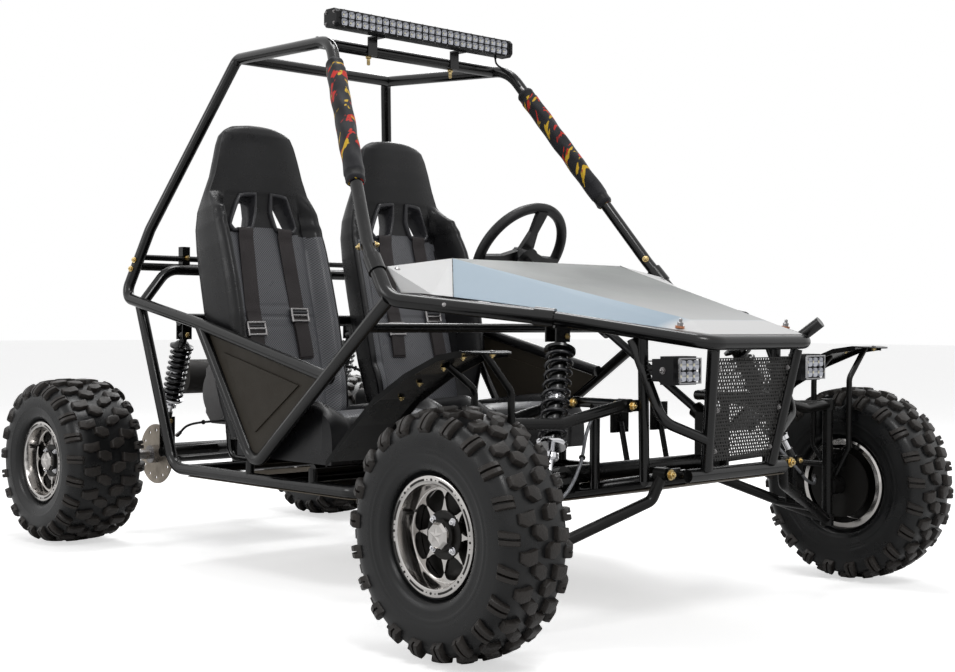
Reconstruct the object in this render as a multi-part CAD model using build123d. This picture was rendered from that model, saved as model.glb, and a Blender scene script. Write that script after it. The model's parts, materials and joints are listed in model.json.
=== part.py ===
from build123d import *
import math
import os

# Two-seat racing kart with a bolted roll cage, in millimetres.
# +Z is up, the front faces -Y, +X is the vehicle's left.
# The origin is on the ground at mid-length.

# Running gear
WHEELBASE = 1880.0
FRONT_TRACK = 1378.0
REAR_TRACK = 948.0
FRONT_TYRE_RADIUS = 242.0
FRONT_TYRE_WIDTH = 162.0
REAR_TYRE_RADIUS = 236.0
REAR_TYRE_WIDTH = 226.0
LUG_HEIGHT = 13.0
LUG_PITCHES = 16
FLANGE_RADIUS = 114.0
BARREL_RADIUS = 98.0
RIM_WALL = 5.0
FRONT_FACE_OFFSET = 67.0
REAR_FACE_OFFSET = 97.0
SPOKE_WINDOWS = 8
# columns: place across (share of half width), turn within a pitch (share), length across, length round, skew
LUG_ROWS = (
    (0.22, 0.0, 46.0, 30.0, 24.0),
    (-0.22, 0.5, 46.0, 30.0, 24.0),
)
# columns: side, turn within a pitch (share), length round
SHOULDER_ROWS = (
    (1, 0.5, 24.0),
    (-1, 0.0, 24.0),
)

# Tubes
TUBE_R = 15.0
RAIL_R = 17.0
CROSS_R = 14.0
LIGHT_TUBE_R = 11.0
BEND_R = 60.0
SLEEVE_WALL = 3.5
SLEEVE_LENGTH = 44.0

# Clearances
SEAT_GAP = 0.3
RUNNING_GAP = 0.3

# Main frame, right and left alike (half widths, Y, Z)
FLOOR_Z = 245.0
FLOOR_HALF = 436.0
FLOOR_REAR_Y = 452.0
FLOOR_FRONT_Y = -300.0
NOSE_HALF = 170.0
NOSE_Y = -1078.0
NOSE_Z = 325.0
PINCH_HALF = 250.0
PINCH_Y = -650.0
UPRIGHT_TOP = (440.0, 618.0, 680.0)
HOOD_REAR = (508.0, -520.0, 690.0)
RAIL_SPLIT = (330.0, -851.0, 650.0)
BAR_CORNER = (172.0, -1139.0, 601.0)
PILLAR_JOINT = (484.0, -420.0, 807.0)
ROOF_FRONT = (312.0, -61.0, 1340.0)
ROOF_REAR = (265.0, 412.0, 1358.0)
STAY_BEND = (428.0, 592.0, 890.0)
STAY_FOOT = (470.0, 652.0, 705.0)
STAY_JOINT_SHARE = 0.52
ROOF_SPLIT_SHARE = 0.075
SIDE_RAIL_MEET = (466.0, -262.0, 508.0)
VEE_BOTTOM = (462.0, 42.0, 280.0)
VEE_REAR = (470.0, 277.0, 632.0)
JOINT_SHARE = 0.2

# Seats
SEAT_X = 243.0
SEAT_WIDTH = 396.0
SEAT_GROUND = 300.0
CUSHION_FRONT_Y = -235.0
CUSHION_REAR_Y = 150.0
CUSHION_HEIGHT = 125.0
BACK_FOOT_Y = 180.0
BACK_FOOT_Z = 345.0
BACK_LENGTH = 850.0
BACK_LEAN = 15.0

# Steering
WHEEL_CENTRE = (243.0, -177.0, 825.0)
COLUMN_ANGLE = 33.0
COLUMN_LENGTH = 745.0
COLUMN_R = 10.0
STEER_WHEEL_R = 143.0
STEER_RIM_R = 14.0
KINGPIN_X = 560.0
KINGPIN_TOP_Z = 428.0
KINGPIN_FOOT_Z = 172.0
KINGPIN_R = 13.0
RACK_Y = -830.0
RACK_Z = 314.5
RACK_HALF = 275.0

FRONT_AXLE_Y = -WHEELBASE / 2
REAR_AXLE_Y = WHEELBASE / 2
FRONT_X = FRONT_TRACK / 2
REAR_X = REAR_TRACK / 2

os.makedirs("parts", exist_ok=True)
RIGHT = -1
LEFT = 1
SIDES = (("right", RIGHT), ("left", LEFT))


def on_side(point, side):
    return (side * point[0], point[1], point[2])


def between(a, b, share):
    return tuple(p + (q - p) * share for p, q in zip(a, b))


STAY_JOINT = between(STAY_BEND, STAY_FOOT, STAY_JOINT_SHARE)
ROOF_SPLIT = between(ROOF_REAR, ROOF_FRONT, ROOF_SPLIT_SHARE)


def lug_top(radius, along):
    """Height of a lug's flat top above the axle."""
    return math.sqrt(radius ** 2 - (along * 0.62) ** 2)


def lug_reach(radius, width):
    """Distance from the axle to the lowest corner of the lugs."""
    reach = 0.0
    rows = list(LUG_ROWS)
    rows += [(side, turn, 0.0, along, 0.0) for side, turn, along in SHOULDER_ROWS]
    for _, turn, across, along, skew in rows:
        long = across * width / FRONT_TYRE_WIDTH
        tilt = math.radians(skew)
        corner = along / 2 * math.cos(tilt) + long / 2 * abs(math.sin(tilt))
        for i in range(LUG_PITCHES):
            angle = 2 * math.pi * (i + turn) / LUG_PITCHES
            reach = max(reach, lug_top(radius, along) * math.cos(angle) + corner * abs(math.sin(angle)))
    return reach


FRONT_AXLE_Z = lug_reach(FRONT_TYRE_RADIUS, FRONT_TYRE_WIDTH)
REAR_AXLE_Z = lug_reach(REAR_TYRE_RADIUS, REAR_TYRE_WIDTH)


def rod(start, end, radius):
    """A straight round bar between two points."""
    direction = Vector(*end) - Vector(*start)
    return extrude(Plane(origin=start, z_dir=direction) * Circle(radius), direction.length)


def tube(points, radius, bend=BEND_R):
    """A round tube along straight runs with equal bends."""
    if len(points) == 2:
        return rod(points[0], points[1], radius)
    path = FilletPolyline(*points, radius=bend)
    section = Plane(origin=path @ 0, z_dir=path % 0) * Circle(radius)
    return sweep(section, path=path)


def weld(pieces):
    """Join pieces into one solid."""
    whole = Part() + pieces[0]
    for piece in pieces[1:]:
        whole += piece
    return whole


def block(size, centre):
    return Pos(*centre) * Box(*size)


def write(name, shape):
    export_step(shape, f"parts/{name}.step")


def both(name, make):
    """Write a right and a left node of one piece."""
    for word, side in SIDES:
        write(f"{name}_{word}", make(side))


# Main frame

def floor_tubes(radius):
    """Bottom rails that rise into the rear uprights, and the cross tubes between them."""
    pieces = []
    for _, side in SIDES:
        pieces.append(tube([
            on_side((NOSE_HALF, NOSE_Y, NOSE_Z), side),
            on_side((PINCH_HALF, PINCH_Y, FLOOR_Z), side),
            on_side((FLOOR_HALF, FLOOR_FRONT_Y, FLOOR_Z), side),
            on_side((FLOOR_HALF, FLOOR_REAR_Y, FLOOR_Z), side),
            on_side(UPRIGHT_TOP, side)], radius))
    # columns: Y, half width
    cross_tubes = ((CRADLE_Y, FLOOR_HALF), (30.0, FLOOR_HALF), (FLOOR_FRONT_Y, FLOOR_HALF),
                   (PINCH_Y, PINCH_HALF))
    cross = CROSS_R + radius - TUBE_R
    for y, half in cross_tubes:
        pieces.append(rod((-half, y, FLOOR_Z), (half, y, FLOOR_Z), cross))
    pieces.append(rod((-NOSE_HALF, NOSE_Y, NOSE_Z), (NOSE_HALF, NOSE_Y, NOSE_Z), cross))
    light = LIGHT_TUBE_R + radius - TUBE_R
    strut_z = floor_rail_z(STRUT_Y)
    pieces.append(rod((-STRUT_X, STRUT_Y, strut_z), (STRUT_X, STRUT_Y, strut_z), light))
    rail_z = SEAT_GROUND - SEAT_GAP - LIGHT_TUBE_R
    for y in SEAT_RAIL_YS:
        pieces.append(rod((-FLOOR_HALF, y, rail_z), (FLOOR_HALF, y, rail_z), light))
        for _, side in SIDES:
            pieces.append(rod((side * FLOOR_HALF, y, FLOOR_Z), (side * FLOOR_HALF, y, rail_z), light))
    return pieces


SEAT_RAIL_YS = (-160.0, 100.0)
CRADLE_Y = 385.0
CRADLE_X = 175.0
PIVOT_Y = 540.0
PIVOT_Z = 285.0
ENGINE_SHELF_Y = 585.0


SHOCK_BAR_HALF = 318.0
SHOCK_BAR_Z = 640.0


def main_frame():
    """The bottom frame with the rear cross tube and the engine cradle."""
    pieces = floor_tubes(TUBE_R)
    top = (SHOCK_BAR_HALF, REAR_SHOCK_TOP[1], SHOCK_BAR_Z)
    knee = (CRADLE_X, ENGINE_SHELF_Y - 20, FLOOR_Z + 5)
    head = (CRADLE_X, top[1], top[2])
    for _, side in SIDES:
        pieces.append(tube([on_side(p, side) for p in ((CRADLE_X, CRADLE_Y, FLOOR_Z), knee, head)],
                           LIGHT_TUBE_R, 40.0))
        pieces.append(rod(on_side((CRADLE_X - 20.0, top[1], top[2]), side), on_side(top, side), CROSS_R))
        pieces.append(block((8.0, 54.0, 84.0), (side * (CRADLE_X - 7), PIVOT_Y, PIVOT_Z - 16)))
        for y in (-1, 1):
            place = REAR_SHOCK_TOP[1] + y * (SHOCK_EYE_LENGTH / 2 + SEAT_GAP + TAB / 2)
            tab_foot = REAR_SHOCK_TOP[2] - 12.0
            pieces.append(block((30.0, TAB, top[2] - tab_foot), (side * REAR_SHOCK_TOP[0], place,
                                                                 (top[2] + tab_foot) / 2)))
        for x, y, z in (LOWER_FRONT_EYE, LOWER_REAR_EYE):
            for tab in eye_tabs(x, y, z, 34.0):
                pieces.append(tab if side == LEFT else mirror(tab, about=Plane.YZ))
    shelf_z = ENGINE_CENTRE[2] - ENGINE_HEIGHT / 2 - LIGHT_TUBE_R - SEAT_GAP
    pieces.append(rod((-CRADLE_X, ENGINE_SHELF_Y, shelf_z), (CRADLE_X, ENGINE_SHELF_Y, shelf_z), LIGHT_TUBE_R))
    return weld(pieces)


def pillar_path(side):
    """Hood rail from its split, round the bend and up to the bolted joint."""
    joint = between(PILLAR_JOINT, HOOD_REAR, JOINT_SHARE)
    return [on_side(p, side) for p in (RAIL_SPLIT, HOOD_REAR, joint)]


def hoop_path(side):
    joint = between(PILLAR_JOINT, HOOD_REAR, JOINT_SHARE)
    return [on_side(p, side) for p in (joint, PILLAR_JOINT, ROOF_FRONT, ROOF_SPLIT)]


def stay_path(side):
    return [on_side(p, side) for p in (ROOF_SPLIT, ROOF_REAR, STAY_BEND, STAY_JOINT)]


HOOP_BENDS = [60.0, 90.0]
STAY_BENDS = [24.0, 120.0]


def side_tubes(side, radius):
    """The upper side rail and the V tube under it, as separate tubes."""
    rail = tube([on_side(p, side) for p in (STAY_JOINT, STAY_FOOT, VEE_REAR, SIDE_RAIL_MEET)], radius, [35.0, 200.0])
    vee = tube([on_side(p, side) for p in (VEE_REAR, VEE_BOTTOM, HOOD_REAR)], radius, 45.0)
    return [rail, vee]


def side_frame(side):
    """The welded side of the cockpit."""
    pillar = tube(pillar_path(side), RAIL_R + SEAT_GAP)
    floor = weld(floor_tubes(TUBE_R + SEAT_GAP))
    return largest(weld(side_tubes(side, TUBE_R)) - pillar - floor)


def front_pillar(side):
    """The hood rail, bent up into the foot of the pillar, with its end sleeves."""
    path = pillar_path(side)
    sleeve_end = between(path[0], path[1], SLEEVE_LENGTH / math.dist(path[0], path[1]))
    clamp = between(path[2], path[1], SLEEVE_LENGTH / math.dist(path[2], path[1]))
    tab = shock_tab(1)
    if side == RIGHT:
        tab = mirror(tab, about=Plane.YZ)
    return weld([tube(path, RAIL_R), rod(path[0], sleeve_end, RAIL_R + SLEEVE_WALL),
                 rod(path[2], clamp, RAIL_R + SLEEVE_WALL), tab])


def shock_tab(step):
    """One of the two plates that hold the top of a front shock."""
    x, y, z = SHOCK_TOP
    return block((42.0, TAB, 48.0), (x + 12, y + step * (SHOCK_EYE_LENGTH / 2 + SEAT_GAP + TAB / 2), z + 12))


def roof_hoop(side):
    """The upper pillar and roof rail, one bent tube."""
    return tube(hoop_path(side), TUBE_R, HOOP_BENDS)


def rear_stay(side):
    """The rear pillar from the roof to the side rail."""
    return tube(stay_path(side), TUBE_R, STAY_BENDS)


def largest(shape):
    """Keep the main solid after the ends are coped off."""
    return Part() + shape.solids().sort_by(SortBy.VOLUME)[-1]


ROOF_BAR_Y = -5.0
BRACKET_X = 144.0
BRACKET_FOOT = (30.0, 4.0, 26.0)


def roof_bars():
    """Cross tubes of the roof; the front one carries two lamp brackets."""
    front_z = ROOF_FRONT[2] + 3
    front = rod((-ROOF_FRONT[0], ROOF_BAR_Y, front_z), (ROOF_FRONT[0], ROOF_BAR_Y, front_z), TUBE_R)
    rear_y = ROOF_REAR[1] - 12
    rear = rod((-ROOF_REAR[0], rear_y, ROOF_REAR[2]), (ROOF_REAR[0], rear_y, ROOF_REAR[2]), TUBE_R)
    for _, side in SIDES:
        front = largest(front - tube(hoop_path(side), TUBE_R + SEAT_GAP, HOOP_BENDS))
        rear = largest(rear - tube(stay_path(side), TUBE_R + SEAT_GAP, STAY_BENDS))
        front += lamp_bracket(side, front_z)
    return Compound([front.solid(), rear.solid()])


def lamp_bracket(side, tube_z):
    """A bent strap from the roof tube up to the underside of the light bar."""
    wide, thick, _ = BRACKET_FOOT
    x = side * BRACKET_X
    top_z = LIGHT_Z - LIGHT_HEIGHT / 2 - SEAT_GAP
    upright_y = ROOF_BAR_Y - TUBE_R - thick / 2 + 1
    height = top_z - tube_z + TUBE_R
    strap = block((wide, thick, height), (x, upright_y, top_z - height / 2))
    shelf_depth = 34.0
    shelf = block((wide, shelf_depth, thick), (x, upright_y - shelf_depth / 2 + thick / 2, top_z - thick / 2))
    return strap + shelf


LIGHT_Z = 1398.0
LIGHT_Y = -55.0
LIGHT_HALF = 300.0
LIGHT_HEIGHT = 44.0
LIGHT_DEPTH = 46.0
LIGHT_CAP = 9.0
LIGHT_FINS = 5


def light_bar():
    """A long lamp housing with an open front recess, cooling fins and end caps."""
    body = block((2 * LIGHT_HALF, LIGHT_DEPTH, LIGHT_HEIGHT), (0, LIGHT_Y, LIGHT_Z))
    body = chamfer(body.edges().filter_by(Axis.X), 5.0)
    recess = block((2 * LIGHT_HALF - 12, 8, LIGHT_HEIGHT - 8), (0, LIGHT_Y - LIGHT_DEPTH / 2, LIGHT_Z))
    body -= recess
    for i in range(LIGHT_FINS):
        z = LIGHT_Z + (i - (LIGHT_FINS - 1) / 2) * 7.6
        body -= block((2 * LIGHT_HALF, 22, 3.4), (0, LIGHT_Y + LIGHT_DEPTH / 2, z))
    for _, side in SIDES:
        cap = block((LIGHT_CAP, LIGHT_DEPTH + 4, LIGHT_HEIGHT + 2),
                    (side * (LIGHT_HALF + LIGHT_CAP / 2), LIGHT_Y, LIGHT_Z))
        body += chamfer(cap.edges().filter_by(Axis.X), 9.0)
    return body


# Front of the frame

STRUT_X = 228.0
STRUT_Y = -1012.0
GRILLE_TOP = (148.0, -1127.0, 586.0)
GRILLE_FOOT = (114.0, -1085.0, 334.0)
BRACE_TOP = (238.0, -985.0, 606.0)
BRACE_BEND = (232.0, -1062.0, 440.0)
BRACE_END = (122.0, -1097.0, 396.0)
UPPER_PIVOT_X = 254.0
UPPER_PIVOT_Z = 470.0
UPPER_FRONT_Y = -980.0
UPPER_REAR_Y = -812.0
PIVOT_RAIL_END = -790.0
POST_Y = -874.0
EYE_R = 14.0
EYE_LENGTH = 32.0
TAB = 4.0
STUB_TOP = (208.0, -1148.0, 646.0)


def hood_loop(radius):
    """The tube round the nose between the two hood rails."""
    return tube([on_side(RAIL_SPLIT, RIGHT), on_side(BAR_CORNER, RIGHT), BAR_CORNER, RAIL_SPLIT], radius, 50.0)


def eye_tabs(x, y, z, reach):
    """Two plates that hold an arm's eye; they reach inwards to the tube."""
    tabs = []
    for step in (-1, 1):
        place = y + step * (EYE_LENGTH / 2 + SEAT_GAP + TAB / 2)
        tabs.append(block((reach + 6.0, TAB, 24.0), (x - reach / 2 + 3.0, place, z)))
    return tabs


def front_frame():
    """Nose loop, grille posts, braces, suspension posts and the arms' tabs."""
    half = []
    half.append(rod(GRILLE_FOOT, GRILLE_TOP, 13.0))
    half.append(tube([BRACE_TOP, BRACE_BEND, BRACE_END], LIGHT_TUBE_R, 45.0))
    top = hood_rail_point(STRUT_Y)
    half.append(rod((STRUT_X, STRUT_Y, floor_rail_z(STRUT_Y)), (STRUT_X + 8, STRUT_Y, top[2]), LIGHT_TUBE_R))
    half.append(rod((STRUT_X, STRUT_Y, UPPER_PIVOT_Z), (STRUT_X, PIVOT_RAIL_END, UPPER_PIVOT_Z), LIGHT_TUBE_R))
    half.append(rod((STRUT_X, POST_Y, floor_rail_z(POST_Y)), (STRUT_X, POST_Y, UPPER_PIVOT_Z), LIGHT_TUBE_R))
    half.append(shock_tab(-1))
    pod_back = POD_CENTRE[1] + 36 + SEAT_GAP
    half.append(block((24.0, 46.0, 16.0), (POD_CENTRE[0], pod_back + 23, POD_CENTRE[2])))
    for y in (UPPER_FRONT_Y, UPPER_REAR_Y):
        half += eye_tabs(UPPER_PIVOT_X, y, UPPER_PIVOT_Z, UPPER_PIVOT_X - STRUT_X)
    left = weld(half)
    stub_foot = hood_rail_point(STUB_TOP[1] + 48)
    stub = rod(stub_foot, STUB_TOP, 13.0)
    whole = weld([hood_loop(TUBE_R), left, mirror(left, about=Plane.YZ), stub])
    floor = weld(floor_tubes(TUBE_R + SEAT_GAP))
    sleeves = [rod(on_side(RAIL_SPLIT, s), on_side(HOOD_REAR, s), RAIL_R + SLEEVE_WALL + SEAT_GAP) for _, s in SIDES]
    return largest(whole - floor - sleeves[0] - sleeves[1])


def hood_rail_point(y):
    share = (y - RAIL_SPLIT[1]) / (BAR_CORNER[1] - RAIL_SPLIT[1])
    return between(RAIL_SPLIT, BAR_CORNER, share)


def floor_rail_z(y):
    share = (y - PINCH_Y) / (NOSE_Y - PINCH_Y)
    return FLOOR_Z + (NOSE_Z - FLOOR_Z) * share


GRILLE_ROWS = 15
GRILLE_COLUMNS = 4
GRILLE_THICKNESS = 2.5


def grille():
    """A slotted sheet between the grille posts, leaning with them."""
    top_half = GRILLE_TOP[0] - 13.0 - SEAT_GAP
    foot_half = GRILLE_FOOT[0] - 13.0 - SEAT_GAP
    lean = Vector(0, GRILLE_TOP[1] - GRILLE_FOOT[1], GRILLE_TOP[2] - GRILLE_FOOT[2])
    height = lean.length
    plane = Plane(origin=(0, GRILLE_FOOT[1], GRILLE_FOOT[2]), x_dir=(1, 0, 0), z_dir=Vector(1, 0, 0).cross(lean))
    low, high = 18.0, height - 17.0

    def half_at(v):
        return foot_half + (top_half - foot_half) * v / height

    outline = Polyline((-half_at(low), low), (half_at(low), low), (half_at(high), high),
                       (-half_at(high), high), close=True)
    sheet = extrude(plane * make_face(outline), GRILLE_THICKNESS / 2, both=True)
    pitch = (high - low - 16) / GRILLE_ROWS
    for row in range(GRILLE_ROWS):
        v = low + 8 + (row + 0.5) * pitch
        span = 2 * half_at(v) - 26
        slot = span / GRILLE_COLUMNS - 8
        for column in range(GRILLE_COLUMNS):
            u = (column - (GRILLE_COLUMNS - 1) / 2) * span / GRILLE_COLUMNS
            sheet -= extrude(plane * Pos(u, v) * Rectangle(slot, pitch * 0.5), GRILLE_THICKNESS, both=True)
    return sheet


# Body panels

CREASE_REAR = (292.0, -491.0, 787.0)
CREASE_FRONT = (133.0, -1054.0, 649.0)
BAND_REAR = (462.0, -612.0, 700.0)
BAND_FRONT = (165.0, -1130.0, 619.0)
DASH_TOP = (476.0, -478.0, 763.0)
DASH_FOOT = (484.0, -536.0, 706.0)
PANEL_WALL = 4.0


def draped(points, thickness):
    """A panel facet, thickened straight down so that neighbours share their edges."""
    face = Face(Wire(Polyline(*points, close=True)))
    return extrude(face, thickness, dir=(0, 0, -1))


def hood_shell():
    """The light-coloured outer hood: side bands, nose and dash cheeks."""
    pieces = []
    for _, side in SIDES:
        a, b, c, d, f, g = [on_side(p, side) for p in (CREASE_REAR, CREASE_FRONT, BAND_REAR, BAND_FRONT,
                                                       DASH_TOP, DASH_FOOT)]
        for corners in ((a, b, d), (a, d, c), (a, c, f), (f, c, g)):
            pieces.append(draped(corners, PANEL_WALL))
    nose = (on_side(CREASE_FRONT, LEFT), on_side(CREASE_FRONT, RIGHT),
            on_side(BAND_FRONT, RIGHT), on_side(BAND_FRONT, LEFT))
    pieces.append(draped(nose, PANEL_WALL))
    shell = weld(pieces) - hood_loop(TUBE_R + SEAT_GAP)
    for _, side in SIDES:
        shell -= front_pillar_envelope(side)
    return largest(shell)


def front_pillar_envelope(side):
    path = pillar_path(side)
    return tube(path, RAIL_R + SLEEVE_WALL + SEAT_GAP)


def hood_corners():
    return (on_side(CREASE_REAR, LEFT), on_side(CREASE_REAR, RIGHT),
            on_side(CREASE_FRONT, RIGHT), on_side(CREASE_FRONT, LEFT))


def hood_panel():
    """The dark top panel between the creases."""
    return draped(hood_corners(), PANEL_WALL)


PANEL_CORNERS = ((463.0, 277.0, 624.0), (463.0, -262.0, 500.0), (463.0, 45.0, 290.0))


def side_panel(side):
    """The dark triangular panel inside the V, with a raised triangle."""
    points = [on_side(p, side) for p in PANEL_CORNERS]
    centre = tuple(sum(p[i] for p in points) / 3 for i in range(3))
    raised = [between(p, centre, 0.42) for p in points]
    flat = Plane(origin=points[0], z_dir=(side, 0, 0))
    outer = extrude(Face(Wire(Polyline(*points, close=True))), 2.0, both=True)
    inner = extrude(Face(Wire(Polyline(*raised, close=True))), 6.0, both=True)
    panel = outer + inner
    for cutter in side_tubes(side, TUBE_R + SEAT_GAP):
        panel -= cutter
    return largest(panel)


PAN_WALL = 2.0
PAN_EDGE = 6.0


def floor_pan():
    """A thin tray under the bottom rails, rising to the nose."""
    z = FLOOR_Z - TUBE_R - SEAT_GAP
    break_y = PINCH_Y - 3
    front_y = NOSE_Y
    rise = (break_y - front_y) * (NOSE_Z - FLOOR_Z) / (PINCH_Y - NOSE_Y)
    rear_y = CRADLE_Y - 10
    side_line = Polyline((rear_y, z), (break_y, z), (front_y, z + rise), (front_y, z + rise - PAN_WALL),
                         (break_y, z - PAN_WALL), (rear_y, z - PAN_WALL), close=True)
    half = FLOOR_HALF + PAN_EDGE
    sheet = extrude(Plane(origin=(0, 0, 0), x_dir=(0, 1, 0), z_dir=(1, 0, 0)) * make_face(side_line), half, both=True)
    outline = Polyline((half, rear_y), (half, FLOOR_FRONT_Y), (PINCH_HALF + PAN_EDGE, PINCH_Y),
                       (NOSE_HALF + PAN_EDGE, front_y), (-NOSE_HALF - PAN_EDGE, front_y),
                       (-PINCH_HALF - PAN_EDGE, PINCH_Y), (-half, FLOOR_FRONT_Y), (-half, rear_y), close=True)
    return sheet & extrude(make_face(outline), FLOOR_Z + rise + 50)


# Seats

# columns: height up the back, half width, shell depth, bolster depth, bolster width, forward lean
BACK_SECTIONS = (
    (0.0, 180.0, 58.0, 6.0, 60.0, 0.0),
    (96.0, 190.0, 62.0, 30.0, 60.0, 0.0),
    (200.0, 197.0, 62.0, 92.0, 62.0, 0.0),
    (400.0, 196.0, 62.0, 100.0, 60.0, 0.0),
    (562.0, 182.0, 60.0, 74.0, 55.0, 0.0),
    (650.0, 150.0, 58.0, 50.0, 42.0, 14.0),
    (705.0, 126.0, 57.0, 38.0, 38.0, 27.0),
    (795.0, 106.0, 55.0, 26.0, 34.0, 42.0),
    (838.0, 92.0, 50.0, 18.0, 28.0, 48.0),
    (856.0, 68.0, 42.0, 12.0, 24.0, 50.0),
)
SLOT_HEIGHT = 605.0
# columns: distance above the slot's middle, inner edge, outer edge
SLOT_EDGES = ((40.0, 31.0, 71.0), (-40.0, 40.0, 99.0))
BELT_TOP_X = 64.0
BELT_FOOT_X = 78.0
BELT_WIDTH = 46.0


def seat_back(side):
    """A bucket back: a hollow front between forward bolsters, with two harness slots."""
    origin = (side * SEAT_X, BACK_FOOT_Y, BACK_FOOT_Z)
    lean = math.radians(BACK_LEAN)
    up = Vector(0, math.sin(lean), math.cos(lean))
    faces = []
    out = Vector(0, -math.cos(lean), math.sin(lean))
    for height, half, depth, bolster, wide, forward in BACK_SECTIONS:
        base = Vector(*origin) + up * height + out * forward
        plane = Plane(origin=base, x_dir=(1, 0, 0), z_dir=up)
        outline = Polyline((-half, depth - 22), (-half + 26, depth), (half - 26, depth), (half, depth - 22),
                           (half, -bolster), (half - wide * 0.55, -bolster), (half - wide, 0), (-half + wide, 0),
                           (-half + wide * 0.55, -bolster), (-half, -bolster), close=True)
        faces.append(plane * make_face(outline))
    back = loft(faces, ruled=True)
    slot_plane = Plane(origin=Vector(*origin) + up * SLOT_HEIGHT, x_dir=(1, 0, 0),
                       z_dir=Vector(1, 0, 0).cross(up))
    (high, high_in, high_out), (low, low_in, low_out) = SLOT_EDGES
    for s in (RIGHT, LEFT):
        edge = Polyline((s * high_in, high), (s * high_out, high), (s * low_out, low), (s * low_in, low), close=True)
        back -= extrude(slot_plane * make_face(edge), 160, both=True)
    return back


def seat_cushion(side):
    """A seat base with a rolled front and low side bolsters."""
    half = SEAT_WIDTH / 2
    z = SEAT_GROUND
    top = z + CUSHION_HEIGHT
    profile = Polyline((CUSHION_REAR_Y, z), (CUSHION_REAR_Y, top - 40), (CUSHION_FRONT_Y + 50, top - 5),
                       (CUSHION_FRONT_Y + 18, top - 14), (CUSHION_FRONT_Y, top - 42), (CUSHION_FRONT_Y, z),
                       close=True)
    plane = Plane(origin=(side * SEAT_X, 0, 0), x_dir=(0, 1, 0), z_dir=(1, 0, 0))
    pad = extrude(plane * make_face(profile), half - 62, both=True)
    for bolster_side in (RIGHT, LEFT):
        bolster = Polyline((CUSHION_REAR_Y, z), (CUSHION_REAR_Y, top + 20), (CUSHION_FRONT_Y + 90, top + 18),
                           (CUSHION_FRONT_Y + 14, top - 10), (CUSHION_FRONT_Y + 4, z), close=True)
        edge = Plane(origin=(side * SEAT_X + bolster_side * (half - 32), 0, 0), x_dir=(0, 1, 0), z_dir=(1, 0, 0))
        pad += extrude(edge * make_face(bolster), 32, both=True)
    return pad


PAD_OUTER_R = 23.0
PAD_TOP_SHARE = 0.885
PAD_FOOT_SHARE = 0.29


def roof_pad(side):
    """A foam sleeve round the upper pillar."""
    foot = on_side(between(PILLAR_JOINT, ROOF_FRONT, PAD_FOOT_SHARE), side)
    top = on_side(between(PILLAR_JOINT, ROOF_FRONT, PAD_TOP_SHARE), side)
    return rod(foot, top, PAD_OUTER_R) - rod(foot, top, TUBE_R + SEAT_GAP)


# Wheels

TYRE_SHOULDER = 26.0
BEAD_RADIUS = 102.0
FLANGE_THICKNESS = 9.0


def tyre(centre, radius, width, face_offset):
    """A bulged carcass with angular tread lugs; its axis is X."""
    tread = radius - LUG_HEIGHT
    half = width / 2
    bead = face_offset - FLANGE_THICKNESS - SEAT_GAP
    flange_top = FLANGE_RADIUS + 2
    profile = Polyline((-bead, BEAD_RADIUS), (-bead, flange_top), (-half * 0.93, BEAD_RADIUS + 26), (-half, tread - 62),
                       (-half * 0.97, tread - TYRE_SHOULDER), (-half * 0.72, tread - 5), (0, tread),
                       (half * 0.72, tread - 5), (half * 0.97, tread - TYRE_SHOULDER), (half, tread - 62),
                       (half * 0.93, BEAD_RADIUS + 26), (bead, flange_top), (bead, BEAD_RADIUS),
                       (bead - 10, BEAD_RADIUS),
                       (half * 0.82, tread - 60), (half * 0.70, tread - 24), (-half * 0.70, tread - 24),
                       (-half * 0.82, tread - 60), (-bead + 10, BEAD_RADIUS), close=True)
    body = revolve(Plane.XY * make_face(profile), Axis.X)
    lugs = []
    for share, turn, across, along, skew in LUG_ROWS:
        long = across * width / FRONT_TYRE_WIDTH
        sink = 9.0
        top = lug_top(radius, along)
        x = share * half
        shape = Rotation(0, 0, skew if share > 0 else -skew) * Rectangle(long, along)
        lug = extrude(Plane(origin=(x, 0, tread - sink), z_dir=(0, 0, 1)) * shape, top - tread + sink)
        for i in range(LUG_PITCHES):
            lugs.append(Rotation((i + turn) * 360 / LUG_PITCHES, 0, 0) * lug)
    for side, turn, along in SHOULDER_ROWS:
        lug = shoulder_lug(side * half, tread, lug_top(radius, along), along)
        for i in range(LUG_PITCHES):
            lugs.append(Rotation((i + turn) * 360 / LUG_PITCHES, 0, 0) * lug)
    return Pos(*centre) * (body + lugs)


def shoulder_lug(half, tread, top, along):
    """A lug that wraps from the tread round the shoulder and down the side wall."""
    shape = Polyline((half * 0.5, tread - 8), (half * 0.5, top), (half * 0.72, top - 4), (half * 0.94, tread - 9),
                     (half * 1.03, tread - 29), (half * 1.03, tread - 43), (half * 0.9, tread - 45), close=True)
    return extrude(Plane.XZ * make_face(shape), along / 2, both=True)


SPOKE_FACE_DEPTH = 34.0
SPOKE_THICKNESS = 7.0
WINDOW_INNER = 44.0
WINDOW_OUTER = 86.0
CAP_R = 29.0


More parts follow.
